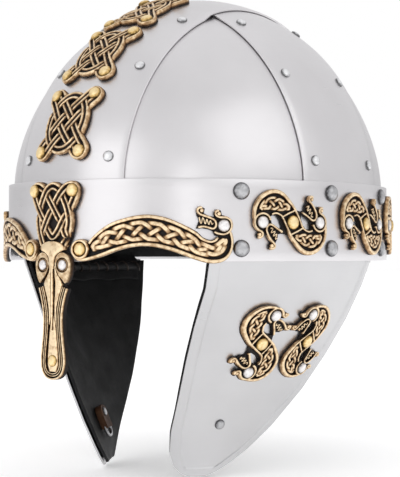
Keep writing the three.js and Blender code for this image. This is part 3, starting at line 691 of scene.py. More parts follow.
class Form:
    """A piece being modelled in millimetres, with a relief value at each corner."""

    def __init__(self) -> None:
        """Starts an empty form."""
        self.mesh = bmesh.new()
        self.relief = self.mesh.verts.layers.float.new("relief")

    def copy(self) -> "Form":
        """Returns a copy with its own mesh."""
        twin = Form.__new__(Form)
        twin.mesh = self.mesh.copy()
        twin.relief = twin.mesh.verts.layers.float["relief"]
        return twin

    def grid(self, columns: int, rows: int,
             place: Place) -> list[bmesh.types.BMVert]:
        """A sheet of columns by rows.

        Args:
            columns: faces across.
            rows: faces along.
            place: gives the corner and the relief at a column and a row.

        Returns:
            The sheet's corners.
        """
        made = bmesh.ops.create_grid(self.mesh, x_segments=columns, y_segments=rows, size=0.5)["verts"]
        for vert in made:
            column = round((vert.co.x + 0.5) * columns)
            row = round((vert.co.y + 0.5) * rows)
            vert.co, vert[self.relief] = place(column, row)
        return made

    def hoop(self, rows: int, place: Callable[[float, int], Vector], columns: int = 240) -> None:
        """A band all the way round.

        Args:
            rows: faces up it.
            place: gives the corner at an angle from the face and a row.
            columns: faces round it.
        """
        self.weld(self.grid(columns, rows, lambda column, row: (
            place(FULL_TURN * (column % columns) / columns, row), 1.0)))

    def weld(self, verts: list[bmesh.types.BMVert]) -> None:
        """Merges corners that lie together."""
        bmesh.ops.remove_doubles(self.mesh, verts=verts, dist=1e-3)

    def turn_over(self) -> None:
        """Turns every face round."""
        bmesh.ops.reverse_faces(self.mesh, faces=self.mesh.faces)

    def strand(self, line: np.ndarray, half: "float | Sequence[float]", top: float, ridge: Ridge,
               dip: "np.ndarray | None" = None, depth: float = 0.4, rounded: bool = True) -> None:
        """A cast strap along a flat line, closed all round.

        Args:
            line: rows of u and v.
            half: half its width, or that at each row.
            top: its height.
            ridge: its cross section.
            dip: how far it dips at each row.
            depth: the share of its height that a full dip takes off.
            rounded: whether its ends are rounded off.
        """
        section = ridge.section()
        count, closed = len(line), len(section)
        halves = np.broadcast_to(np.asarray(half, dtype=float), count).copy()
        normals = normals_of(line)
        dips = np.zeros(count) if dip is None else dip
        heights = top * (1 - depth * dips)
        if rounded and not is_loop(line):
            runs = runs_along(line)
            near = np.minimum(runs, runs[-1] - runs) / np.maximum(halves, SAME)
            rounding = np.sqrt(np.clip(1 - np.clip(1 - near, 0, 1) ** 2, 0, 1))
            halves *= rounding
            heights *= 0.55 + 0.45 * rounding

        def place(column: int, row: int) -> tuple[Vector, float]:
            across, height, shine = section[column % closed]
            spot = line[row] + across * halves[row] * normals[row]
            return Vector((*spot, height * heights[row])), shine * (1 - DIP_SHADE * dips[row])

        self.weld(self.grid(closed, count - 1, place))

    def plate(self, outline: Points, low: float, high: float,
              holes: Sequence[Points] = (), shine: float = 0.0, pitch: float = 3.0) -> None:
        """A flat plate from an outline, cut into strips so that it can be bent.

        Args:
            outline: its corners in order.
            low: its underside.
            high: its top.
            holes: outlines that are cut through.
            shine: the relief of its top.
            pitch: the width of a strip.
        """
        edges = []
        for loop in (outline, *holes):
            verts = [self.mesh.verts.new((u, v, low)) for u, v in loop]
            edges += [self.mesh.edges.new(pair) for pair in zip(verts, verts[1:] + verts[:1])]
        filled = bmesh.ops.triangle_fill(self.mesh, use_beauty=True, edges=edges, normal=(0, 0, 1))
        flat = [item for item in filled["geom"] if isinstance(item, bmesh.types.BMFace)]
        grown = bmesh.ops.extrude_face_region(self.mesh, geom=flat, use_keep_orig=True)["geom"]
        lifted = [item for item in grown if isinstance(item, bmesh.types.BMVert)]
        bmesh.ops.translate(self.mesh, verts=lifted, vec=(0, 0, high - low))
        for vert in lifted:
            vert[self.relief] = shine
        corners = list(dict.fromkeys([*(vert for edge in edges for vert in edge.verts), *lifted]))
        for axis, normal in ((0, (1, 0, 0)), (1, (0, 1, 0))):
            places = [corner[axis] for corner in outline]
            for cut in np.arange(min(places) + pitch / 2, max(places), pitch):
                faces = dict.fromkeys(face for vert in corners if vert.is_valid for face in vert.link_faces)
                region = dict.fromkeys(part for face in faces for part in (face, *face.edges, *face.verts))
                point = (float(cut), 0, 0) if axis == 0 else (0, float(cut), 0)
                made = bmesh.ops.bisect_plane(self.mesh, geom=list(region), dist=1e-5,
                                              plane_co=point, plane_no=normal)["geom_cut"]
                corners += [item for item in made if isinstance(item, bmesh.types.BMVert)]

    def spun(self, profile: Points, place: Matrix, steps: int = 20, shine: float = 1.0,
             rim: float = 1.0) -> None:
        """A turned shape, from a profile of radius and height.

        Args:
            profile: radii and heights, from the top of the axis to its bottom.
            place: where its axis stands.
            steps: faces round it.
            shine: its relief on the axis.
            rim: the share of that relief at its largest radius.
        """
        widest = max(radius for radius, _ in profile)
        verts = [self.mesh.verts.new((radius, 0, height)) for radius, height in profile]
        edges = [self.mesh.edges.new(pair) for pair in zip(verts, verts[1:])]
        known = set(self.mesh.verts) - set(verts)
        bmesh.ops.spin(self.mesh, geom=verts + edges, cent=(0, 0, 0), axis=(0, 0, 1), dvec=(0, 0, 0),
                       angle=FULL_TURN, steps=steps, use_merge=True, use_duplicate=False)
        made = [vert for vert in self.mesh.verts if vert not in known]
        for vert in made:
            out = vert.co.xy.length / widest
            vert[self.relief] = shine * (1 + (rim - 1) * out ** 4)
        bmesh.ops.transform(self.mesh, matrix=place, verts=made)
        self.weld(made)

    def tube(self, points: Sequence[Vector], radius: "float | Sequence[float]", sides: int = 10,
             looped: bool = False) -> None:
        """A round cord along points in space, with closed ends.

        Args:
            points: the middle line.
            radius: its radius, or that at each point.
            sides: faces round it.
            looped: whether the last point is the first one again.
        """
        count = len(points)
        radii = np.broadcast_to(np.asarray(radius, dtype=float), count)
        ways = [(points[min(i + 1, count - 1)] - points[max(i - 1, 0)]).normalized() for i in range(count)]
        if looped:
            ways[0] = ways[-1] = (points[1] - points[-2]).normalized()
        side = ways[0].orthogonal().normalized()
        sides_at = []
        for way in ways:
            side = (side - way * side.dot(way)).normalized()
            sides_at.append((side, way.cross(side)))
        if looped:
            sides_at[-1] = sides_at[0]

        def place(column: int, row: int) -> tuple[Vector, float]:
            angle = FULL_TURN * (column % sides) / sides
            first, second = sides_at[row]
            capped = 0.0 if not looped and row in (0, count - 1) else radii[row]
            return points[row] + (first * math.cos(angle) + second * math.sin(angle)) * capped, 1.0

        self.weld(self.grid(sides, count - 1, place))

    def expose(self, floor: float, reach: float = 6.0, shine: float = 0.8, foot: float = 0.12) -> None:
        """Brightens the upper part of the outer walls that face open space, as polish and as a painted
        highlight, keeps their feet darker as painted shade, and leaves hollows dark.

        Args:
            floor: the level above which a wall is looked at.
            reach: how far a wall has to be free in front of it.
            shine: the relief that a free wall gets: polish and a painted highlight.
            foot: the relief that its foot gets, kept low as painted shade.
        """
        bmesh.ops.recalc_face_normals(self.mesh, faces=self.mesh.faces)
        tree = BVHTree.FromBMesh(self.mesh)
        for vert in self.mesh.verts:
            way = Vector((vert.normal.x, vert.normal.y, 0))
            if way.length < 0.5:
                continue
            way.normalize()
            start = Vector((vert.co.x, vert.co.y, max(vert.co.z, floor))) + way * 0.05
            if tree.ray_cast(start, way, reach)[0] is None:
                # Free walls get polish and a painted highlight above the floor level, and painted shade at
                # their foot.
                wall_wear_and_painted_light = shine if vert.co.z > floor else foot
                vert[self.relief] = max(vert[self.relief], wall_wear_and_painted_light)

    def bend(self, surface: Surface, shift: Point = (0.0, 0.0), angle: float = 0.0,
             flip: int = 1, lift: float = 0.0) -> "Form":
        """Lays a flat form on a surface.

        Args:
            surface: the surface.
            shift: where the form's centre goes.
            angle: its turn about the centre.
            flip: -1 for its mirror image.
            lift: its height above the surface.

        Returns:
            The form.
        """
        cosine, sine = math.cos(angle), math.sin(angle)
        for vert in self.mesh.verts:
            u, v, w = vert.co
            vert.co = surface(shift[0] + u * flip * cosine - v * sine,
                              shift[1] + u * flip * sine + v * cosine, lift + w)
        return self

    def finish(self, name: str, material: Material, slot: str, nodes: Sequence[str] = (),
               side: Side = Side.LEFT, closed: bool = True, wall: float = 0.0,
               bevel: float = 0.0) -> None:
        """Makes the form a piece of the helmet.

        Args:
            name: the piece's name.
            material: its finish.
            slot: the record's slot that the finish stands for; not used.
            nodes: the solids that it replaces.
            side: RIGHT mirrors it.
            closed: whether its faces are turned outwards as closed shells.
            wall: thickness in millimetres that a sheet gets on its inner side.
            bevel: width in millimetres of the rounding on its edges.
        """
        if side is Side.RIGHT:
            bmesh.ops.scale(self.mesh, vec=(-1, 1, 1), verts=self.mesh.verts)
            self.turn_over()
        if closed:
            bmesh.ops.recalc_face_normals(self.mesh, faces=self.mesh.faces)
        bmesh.ops.scale(self.mesh, vec=(MM, MM, MM), verts=self.mesh.verts)
        data = bpy.data.meshes.new(name)
        self.mesh.to_mesh(data)
        self.mesh.free()
        data.shade_smooth()
        data.set_sharp_from_angle(angle=SHARP_FROM)
        data.materials.append(material)
        piece = bpy.data.objects.new(name, data)
        bpy.context.scene.collection.objects.link(piece)
        if wall:
            solid = piece.modifiers.new("wall", "SOLIDIFY")
            solid.thickness = wall * MM
            solid.offset = -1.0
            solid.use_even_offset = True
        if bevel:
            rounding = piece.modifiers.new("edge", "BEVEL")
            rounding.width = bevel * MM
            rounding.segments = 2
            rounding.limit_method = "ANGLE"
            rounding.angle_limit = BEVEL_FROM
        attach(piece, ROOT)
        if nodes:
            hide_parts(*nodes)
        log.info("%s: %d faces", name, len(data.polygons))


def standing(surface: Surface, u: float, v: float, lift: float = 0.0) -> Matrix:
    """Where something stands on a surface, with its Z axis along the surface's normal.

    Args:
        surface: the surface.
        u: the place along it.
        v: the place up it.
        lift: the height above it.

    Returns:
        The placing matrix.
    """
    step = 0.5
    point = surface(u, v, lift)
    right = (surface(u + step, v, lift) - point).normalized()
    normal = right.cross(surface(u, v + step, lift) - point).normalized()
    turn = Matrix((right, normal.cross(right), normal)).transposed().to_4x4()
    return Matrix.Translation(point) @ turn


@dataclass(frozen=True)
class Rivet:
    """A domed rivet head."""

    radius: float
    rise: float
    shank: float = 2.2
    lip: float = 0.25

    def add_to(self, form: Form, place: Matrix) -> None:
        """Adds the head and its shank to a form, with the surface at the place's origin."""
        arc = dome(self.radius, self.rise - self.lip, self.lip, 7)
        foot = [(self.radius * 0.985, 0.0), (self.radius * 0.94, -self.shank), (0.0, -self.shank)]
        # A rim relief of nothing paints shade round the head's edge.
        form.spun([*arc, *foot], place, rim=0.0)


@dataclass
class Castings:
    """Sizes and strokes that all bronze castings share. A reach is in halves of a strap's width."""

    lace_reach: float = 1.7
    plait_reach: float = 2.6
    plait_fullness: float = 1.12
    seat: float = 0.15
    floor: float = 1.1
    top: float = 3.1
    step: float = 0.45

    def trace(self, form: Form, points: Points, half: float, height: float = 0.0,
              closed: bool = False) -> None:
        """A plain strap through points.

        Args:
            form: the form that it joins.
            points: the points.
            half: half its width.
            height: how far it stands above the casting's top.
            closed: whether it returns to its start.
        """
        form.strand(smooth_path(points, self.step, closed), half, self.top + height, Ridge.SINGLE)

    def lace(self, form: Form, lines: Sequence[np.ndarray], half: float) -> None:
        """Broad straps with a groove, which pass over and under each other."""
        for line, dip in zip(lines, weave(lines, half * self.lace_reach)):
            form.strand(line, half, self.top, Ridge.DOUBLE, dip, depth=0.34)

    def plait(self, form: Form, middle: Sequence[Triple], period: float, half: float, top: float,
              start: float = 0.0) -> None:
        """A flat plait of four strands along a middle line.

        Args:
            form: the form that it joins.
            middle: rows of u, v and the distance from the middle line to a strand's furthest place.
            period: the length in which a strand swings across and back.
            half: half a strand's width.
            top: a strand's height.
            start: the swing that the first strand starts with, in turns.
        """
        line = smooth_path([(u, v) for u, v, _ in middle], self.step)
        marks = np.linspace(0, 1, len(line))
        knots = np.array(middle)
        lengths = runs_along(knots[:, :2])
        swing = np.interp(marks, lengths / lengths[-1], knots[:, 2])
        across = normals_of(line)
        turns = marks * lengths[-1] / period + start
        lines = []
        for strand in range(4):
            wave = np.sin(FULL_TURN * (turns + strand / 4))
            wide = np.clip(self.plait_fullness * wave, -1, 1) * swing
            lines.append(smooth_path((line + across * wide[:, None]).tolist()[::2], self.step))
        for strand_line, dip in zip(lines, weave(lines, half * self.plait_reach)):
            form.strand(strand_line, half, top, Ridge.SINGLE, dip, depth=0.3)

    def curl(self, form: Form, centre: Point) -> None:
        """A small ball in the curl at the end of a strap."""
        radius = 1.1
        profile = dome(radius, radius * 0.5, self.top - radius * 0.5, 5)
        form.spun([*profile, (radius, 0.0), (0.0, 0.0)], Matrix.Translation((*centre, 0)), 12, rim=0.5)


@dataclass
class DragonPattern(Castings):
    """The S-dragon: two heads on looped necks, joined at a lozenge. Drawn flat about its middle rivet.

    Each line is one half of the pattern, and the other half is the same after half a turn.
    """

    neck: tuple[Point, ...] = (
        (-22.9, 1.2), (-23.0, 4.6), (-22.3, 8.4), (-20.4, 11.8), (-17.2, 14.6), (-13.4, 16.2),
        (-9.4, 16.3), (-5.8, 14.7), (-2.5, 11.6), (0.2, 8.6), (1.6, 6.6), (4.2, 1.8), (6.7, -2.9),
        (8.4, -4.2), (10.8, -4.9), (13.4, -4.2),
    )
    neck_half: tuple[float, ...] = (0.95, 1.15, 1.3, 1.3, 1.15, 0.8, 0.7, 0.66)
    bar: tuple[Point, ...] = ((-6.7, 2.9), (-2.6, 4.9), (1.6, 6.6))
    eye_ring: tuple[Point, ...] = (
        (-13.8, 0.7), (-14.4, 2.5), (-16.1, 4.1), (-18.4, 4.7), (-20.8, 4.0), (-22.5, 2.2),
        (-23.0, -0.2), (-22.4, -2.4), (-20.9, -4.1), (-19.2, -5.0), (-18.4, -6.1), (-18.7, -7.4),
        (-19.9, -8.1), (-21.2, -7.7),
    )
    jaw: tuple[Point, ...] = (
        (-6.2, -5.3), (-8.0, -4.4), (-10.2, -3.1), (-12.4, -1.7), (-14.0, -1.2), (-15.6, -2.0),
        (-16.2, -4.0), (-15.5, -6.3), (-14.0, -8.8), (-12.4, -10.6), (-11.2, -12.2), (-11.6, -13.6),
        (-13.0, -14.1), (-14.2, -13.4),
    )
    teeth: tuple[Point, ...] = (
        (-14.2, -3.2), (-12.4, -3.4), (-13.4, -5.6), (-11.0, -4.9), (-12.2, -7.4), (-9.9, -6.4),
        (-11.0, -9.0), (-9.2, -8.2),
    )
    outline: tuple[Point, ...] = (
        (1.6, 7.0), (-2.2, 12.4), (-5.6, 15.4), (-9.4, 17.0), (-13.6, 16.9), (-17.5, 15.2),
        (-21.0, 12.2), (-23.0, 8.6), (-23.7, 4.6), (-23.7, -0.4), (-23.0, -2.9), (-21.6, -4.7),
        (-20.6, -5.3), (-21.8, -6.8), (-21.2, -8.3), (-19.2, -8.5), (-17.8, -6.6), (-17.4, -4.9),
        (-15.9, -7.0), (-14.6, -9.3), (-13.4, -10.8), (-14.6, -12.2), (-14.2, -14.2), (-12.2, -14.6),
        (-10.6, -13.3), (-10.4, -11.4), (-8.9, -8.9), (-8.6, -6.4), (-5.9, -6.0),
    )
    leaf: tuple[Point, ...] = (
        (-13.2, 3.2), (-11.4, 4.0), (-9.4, 3.4), (-7.6, 1.2), (-6.2, -2.2), (-6.4, -4.2),
        (-8.2, -3.5), (-10.6, -2.1), (-12.5, -0.4),
    )
    infill: tuple[Triple, ...] = (
        (-19.9, 6.6, 0.2), (-18.0, 8.4, 1.5), (-15.5, 9.6, 2.6), (-12.5, 10.1, 3.0),
        (-9.5, 9.7, 3.0), (-6.6, 8.9, 2.4), (-3.8, 8.2, 1.3), (-1.4, 7.6, 0.2),
    )
    eye: Point = (-18.4, 0.0)
    curls: tuple[Point, ...] = ((-20.1, -6.6), (-12.9, -12.6))

    def flat(self) -> Form:
        """Returns the flat casting without its rivets."""
        form = Form()
        outline, holes = ([scaled(points, way, way) for way in (1, -1)]
                          for points in (self.outline, self.leaf))
        form.plate([*outline[0], *outline[1]], 0.0, self.floor, holes)
        for way in (1, -1):
            neck = smooth_path(scaled(self.neck, way, way), self.step)
            widths = np.interp(np.linspace(0, 1, len(neck)), np.linspace(0, 1, len(self.neck_half)),
                               self.neck_half)
            form.strand(neck, widths, self.top, Ridge.SINGLE)
            for points, half, height in ((self.bar, 0.66, -0.1), (self.eye_ring, 0.82, 0.0),
                                         (self.jaw, 0.78, -0.1), (self.teeth, 0.45, -0.6)):
                self.trace(form, scaled(points, way, way), half, height)
            for centre in scaled(self.curls, way, way):
                self.curl(form, centre)
            middle = [(way * u, way * v, swing) for u, v, swing in self.infill]
            self.plait(form, middle, 21.0, 1.0, self.top - 0.3, 0.1)
        form.expose(self.floor + 0.3)
        return form


@dataclass
class KnotPattern(Castings):
    """A knot plaque: two long pointed loops along its diagonals, laced with an oval ring."""

    half: float = 2.45
    lean: float = math.radians(49.8)
    loop: tuple[Point, ...] = (
        (0.0, 4.0), (6.5, 3.8), (12.0, 3.5), (17.0, 3.4), (20.6, 3.4), (23.2, 2.3), (24.1, 0.0),
    )
    ring: Point = (12.8, 16.0)
    rivets: tuple[Point, ...] = ((-14.2, -16.8), (-14.2, 16.8), (14.2, -16.8), (14.2, 16.8))

    def flat(self) -> Form:
        """Returns the flat casting without its rivets."""
        form = Form()
        end = [*self.loop, *scaled(self.loop[-2::-1], 1, -1)][:-1]
        cosine, sine = math.cos(self.lean), math.sin(self.lean)
        diagonal = [(along * cosine + across * sine, along * sine - across * cosine)
                    for along, across in (*end, *scaled(end, -1, -1))]
        ring = oval((0.0, 0.0), *self.ring, 24)
        lines = [smooth_path(points, self.step, closed=True)
                 for points in (diagonal, scaled(diagonal, -1, 1), ring)]
        self.lace(form, lines, self.half)
        form.plate(scaled(ring, 0.9, 0.9), 0.0, self.floor * 0.7)
        boss = [(0, 2.2), (3.0, 2.2), (3.3, 1.8), (3.3, 0), (0, 0)]
        for spot in self.rivets:
            form.spun(boss, Matrix.Translation((*spot, 0)), steps=16, shine=0.2)
        form.expose(self.floor + 0.3)
        return form


@dataclass
class NasalPattern(Castings):
    """The nose guard, drawn flat: a laced knot, a forehead, two eye sockets and a long snout."""

    floor: float = 1.6
    top: float = 3.6
    half: float = 2.4
    arch: tuple[Point, ...] = (
        (-6.6, 7.4), (-8.3, 11.0), (-10.1, 15.6), (-11.2, 21.8), (-9.9, 28.4), (-7.4, 34.0),
        (-4.4, 38.6), (0.0, 40.7),
    )
    laced: tuple[Point, ...] = (
        (-9.4, 12.6), (-7.6, 16.8), (-4.4, 22.8), (-1.6, 27.2), (1.4, 31.6), (4.6, 36.0),
        (7.8, 39.2), (11.0, 40.8), (13.8, 40.6), (15.0, 38.4), (14.6, 35.0), (12.6, 30.6),
        (9.8, 26.2), (6.8, 21.8), (3.7, 16.8), (0.0, 13.2),
    )
    socket: Point = (7.1, -1.9)
    collar: tuple[Point, ...] = (
        (0.0, 41.6), (4.4, 40.6), (8.6, 41.0), (12.0, 42.0), (15.4, 41.2), (16.6, 38.0),
        (16.0, 34.0), (13.8, 29.0), (12.8, 22.0), (11.8, 15.2), (9.4, 9.4), (9.6, 5.6), (11.2, 3.6),
        (12.8, 0.6), (13.0, -3.4), (12.2, -7.2), (10.2, -11.2), (8.9, -12.6),
    )
    snout: tuple[Point, ...] = (
        (10.5, -14.6), (8.4, -21.0), (7.0, -28.5), (7.0, -36.0), (7.7, -43.0), (8.5, -49.5),
        (8.7, -54.5), (7.7, -59.2), (4.7, -62.6), (0.0, -63.8),
    )
    lobe: tuple[Point, ...] = (
        (2.4, 0.4), (3.4, 2.9), (5.4, 4.5), (8.0, 4.7), (10.6, 3.3), (12.3, 0.4), (12.6, -3.2),
        (11.8, -7.0), (10.3, -10.4), (9.0, -11.6), (7.4, -9.8), (5.0, -7.6), (3.2, -4.6), (2.2, -1.8),
    )
    ridges: tuple[Triple, ...] = ((0.62, 0.62, 0.2), (2.15, 0.38, 0.0), (3.38, 0.38, 0.0))
    centre: tuple[Point, ...] = (
        (-26.0, 0.6), (-30.0, 1.1), (-34.0, 2.0), (-38.0, 2.7), (-43.0, 3.3), (-50.0, 4.1),
        (-55.5, 4.2), (-59.2, 2.8),
    )
    bridge: tuple[Point, ...] = ((2.0, 0.8), (-16.0, 0.8), (-30.0, 0.8), (-37.0, 0.3))
    brow: tuple[Point, ...] = (
        (10.8, 2.6), (10.3, 5.4), (9.2, 7.8), (7.4, 9.2), (6.0, 8.6), (4.6, 5.0), (2.8, 2.7),
        (0.4, 1.9), (-4.0, 1.5),
    )
    side_flat: tuple[Triple, ...] = (
        (1.6, -2.6, 0.3), (2.1, -6.0, 0.75), (3.1, -9.0, 1.8), (4.1, -12.0, 2.7), (3.7, -15.0, 2.3),
        (2.9, -19.0, 1.5), (2.2, -24.0, 0.9), (2.0, -28.0, 0.7), (2.1, -31.0, 0.5), (2.3, -34.0, 0.2),
    )
    rivets: tuple[Point, ...] = ((-14.0, 38.2), (13.6, 38.2), (0.0, -53.4))

    def mirrored(self, points: Points) -> list[Point]:
        """The same points and their mirror image, from one end to the other."""
        return [*points, *scaled(points[-2::-1], -1, 1)]

    def flat(self) -> Form:
        """Returns the flat casting without its rivets."""
        form = Form()
        outline = self.mirrored([*self.collar, *self.snout])[:-1]
        form.plate(scaled(outline, 0.95, 1), 0.0, self.floor + 0.2, pitch=2.6)
        lines = [smooth_path(self.mirrored(points), self.step) for points in (self.arch, self.laced)]
        self.lace(form, lines, self.half)
        for table, height in ((self.brow, 0.9), (self.bridge, 0.5), (self.centre, -0.4)):
            line = smooth_path([(0.0, level) for level, _ in table], self.step)
            half = np.interp(-line[:, 1], [-level for level, _ in table], [wide for _, wide in table])
            form.strand(line, half, self.top + height, Ridge.BROAD, rounded=False)
        lid = [(0, 2.6), (2.9, 2.6), (3.0, 3.6), (3.2, 3.8), (3.45, 3.5), (3.5, 0), (0, 0)]
        for side in (-1, 1):
            socket = (side * self.socket[0], self.socket[1])
            ring = smooth_path(scaled(self.lobe, side, 1), 0.8, closed=True)[:-1]
            form.plate(ring.tolist(), 0.0, self.top + 0.2, [oval(socket, 4.1, 4.1, 28)], shine=0.9)
            form.spun(lid, Matrix.Translation((*socket, 0)), 24, 0.75)
            flank = smooth_path([(side * u, v) for u, v, _ in self.side_flat], self.step)
            spread = np.interp(-flank[:, 1], [-v for _, v, _ in self.side_flat],
                               [half for _, _, half in self.side_flat])
            form.strand(flank, spread, self.top - 0.2, Ridge.BROAD, rounded=False)
        edge = smooth_path(self.mirrored(self.snout), self.step)
        for inset, half, height in self.ridges:
            form.strand(edge - normals_of(edge) * inset, half, self.top + height, Ridge.SINGLE, rounded=False)
        form.expose(self.floor + 0.5)
        return form


@dataclass
class EyebrowPattern(Castings):
    """The left eyebrow, drawn flat by length round the brow and by height: a serpent with a dragon's
    head at its outer end and a riveted cup at its inner end."""

    lower: tuple[Point, ...] = (
        (13.3, 6.0), (14.2, 3.2), (16.6, 1.3), (20.2, 1.2), (25.0, 2.2), (31.0, 4.0), (38.0, 6.6),
        (44.6, 8.4), (51.4, 9.3), (58.0, 9.0), (65.0, 7.5), (72.0, 5.2), (79.0, 2.5), (86.0, 0.5),
        (91.6, 0.5), (95.6, 2.2), (98.2, 5.9), (99.0, 10.2), (98.4, 14.2), (97.6, 15.9),
    )
    upper: tuple[Point, ...] = (
        (23.0, 9.2), (25.6, 12.4), (30.6, 16.4), (36.0, 19.6), (41.9, 21.6), (49.0, 23.2),
        (56.3, 23.6), (64.9, 21.9), (74.2, 17.9), (79.7, 14.9), (83.2, 11.9), (87.2, 10.5),
        (90.0, 11.2), (91.6, 13.0),
    )
    infill: tuple[Triple, ...] = (
        (24.4, 6.4, 0.3), (27.4, 8.4, 1.7), (33.0, 11.6, 3.2), (41.0, 14.4, 4.0), (50.0, 16.2, 4.3),
        (58.0, 15.9, 4.2), (66.0, 14.2, 3.9), (74.0, 11.2, 3.4), (81.0, 7.6, 2.7), (87.0, 5.7, 2.2),
        (91.8, 7.0, 2.2), (94.4, 10.2, 1.4), (95.0, 12.6, 0.2),
    )
    eye: Point = (94.5, 19.0)
    eye_ring: tuple[Point, ...] = (
        (-5.4, -3.2), (-3.0, -4.2), (0.3, -4.5), (3.0, -3.0), (4.2, -0.2), (3.6, 2.6), (1.4, 4.2),
        (-1.6, 4.3), (-3.7, 5.0), (-4.5, 6.4), (-3.8, 7.6), (-2.2, 7.7),
    )
    jaw: tuple[Point, ...] = (
        (-13.8, -1.1), (-11.1, -0.5), (-8.3, -1.0), (-5.8, -1.6), (-4.4, -0.6), (-4.2, 1.4),
        (-5.4, 3.2), (-8.3, 4.5), (-11.4, 5.5), (-13.2, 6.6), (-13.8, 8.2), (-12.7, 9.4), (-11.0, 9.2),
    )
    teeth: tuple[Point, ...] = (
        (-13.0, 4.8), (-12.0, 1.0), (-11.0, 4.2), (-9.8, 0.8), (-9.0, 3.4), (-7.9, 0.5), (-7.2, 2.7),
        (-6.2, 0.6), (-5.6, 1.8),
    )
    head: tuple[Point, ...] = (
        (-14.6, -1.6), (-11.5, -1.4), (-8.4, -1.9), (-5.9, -2.8), (-4.6, -5.2), (-2.0, -6.0),
        (3.6, -4.8), (4.9, -1.0), (4.2, 3.0), (1.6, 5.0), (-0.8, 5.6), (-1.4, 8.0), (-4.0, 8.6),
        (-5.3, 6.6), (-5.0, 4.6), (-8.5, 5.4), (-10.4, 6.6), (-9.9, 9.0), (-12.0, 10.2), (-14.4, 9.0),
        (-14.4, 5.6), (-12.8, 3.0),
    )
    curls: tuple[Point, ...] = ((-2.6, 6.2), (-11.6, 7.9))
    cup: Point = (18.0, 6.6)

    def headed(self, points: Points) -> list[Point]:
        """Points about the eye, moved to where the head is."""
        return [(self.eye[0] + u, self.eye[1] + v) for u, v in points]

    def flat(self) -> Form:
        """Returns the flat casting without its rivets."""
        form = Form()
        lower, upper = smooth_path(self.lower, self.step), smooth_path(self.upper, self.step)
        form.plate([*map(tuple, lower[::3]), *map(tuple, reversed(upper[::3].tolist()))], 0.0, self.floor)
        form.plate(self.headed(self.head), 0.0, self.floor)
        for edge, places, halves in ((lower, (13, 30, 60, 92, 99), (0.9, 1.1, 1.2, 1.2, 0.9)),
                                     (upper, (23, 40, 80, 92), (0.9, 1.15, 1.1, 0.8))):
            form.strand(edge, np.interp(edge[:, 0], places, halves), self.top, Ridge.SINGLE)
        for points, half, height in ((self.eye_ring, 0.8, 0.0), (self.jaw, 0.78, 0.0),
                                     (self.teeth, 0.45, -0.6)):
            self.trace(form, self.headed(points), half, height)
        for centre in self.headed(self.curls):
            self.curl(form, centre)
        self.plait(form, self.infill, 36.0, 1.55, self.top - 0.2)
        cup = [(0, 2.0), (3.9, 2.0), (5.2, 2.0), (5.3, 0), (0, 0)]
        form.spun(cup, Matrix.Translation((*self.cup, 0)), 28, 0.15)
        self.trace(form, oval(self.cup, 4.6, 4.6, 16), 0.85, 0.9, closed=True)
        form.expose(self.floor + 0.3)
        return form


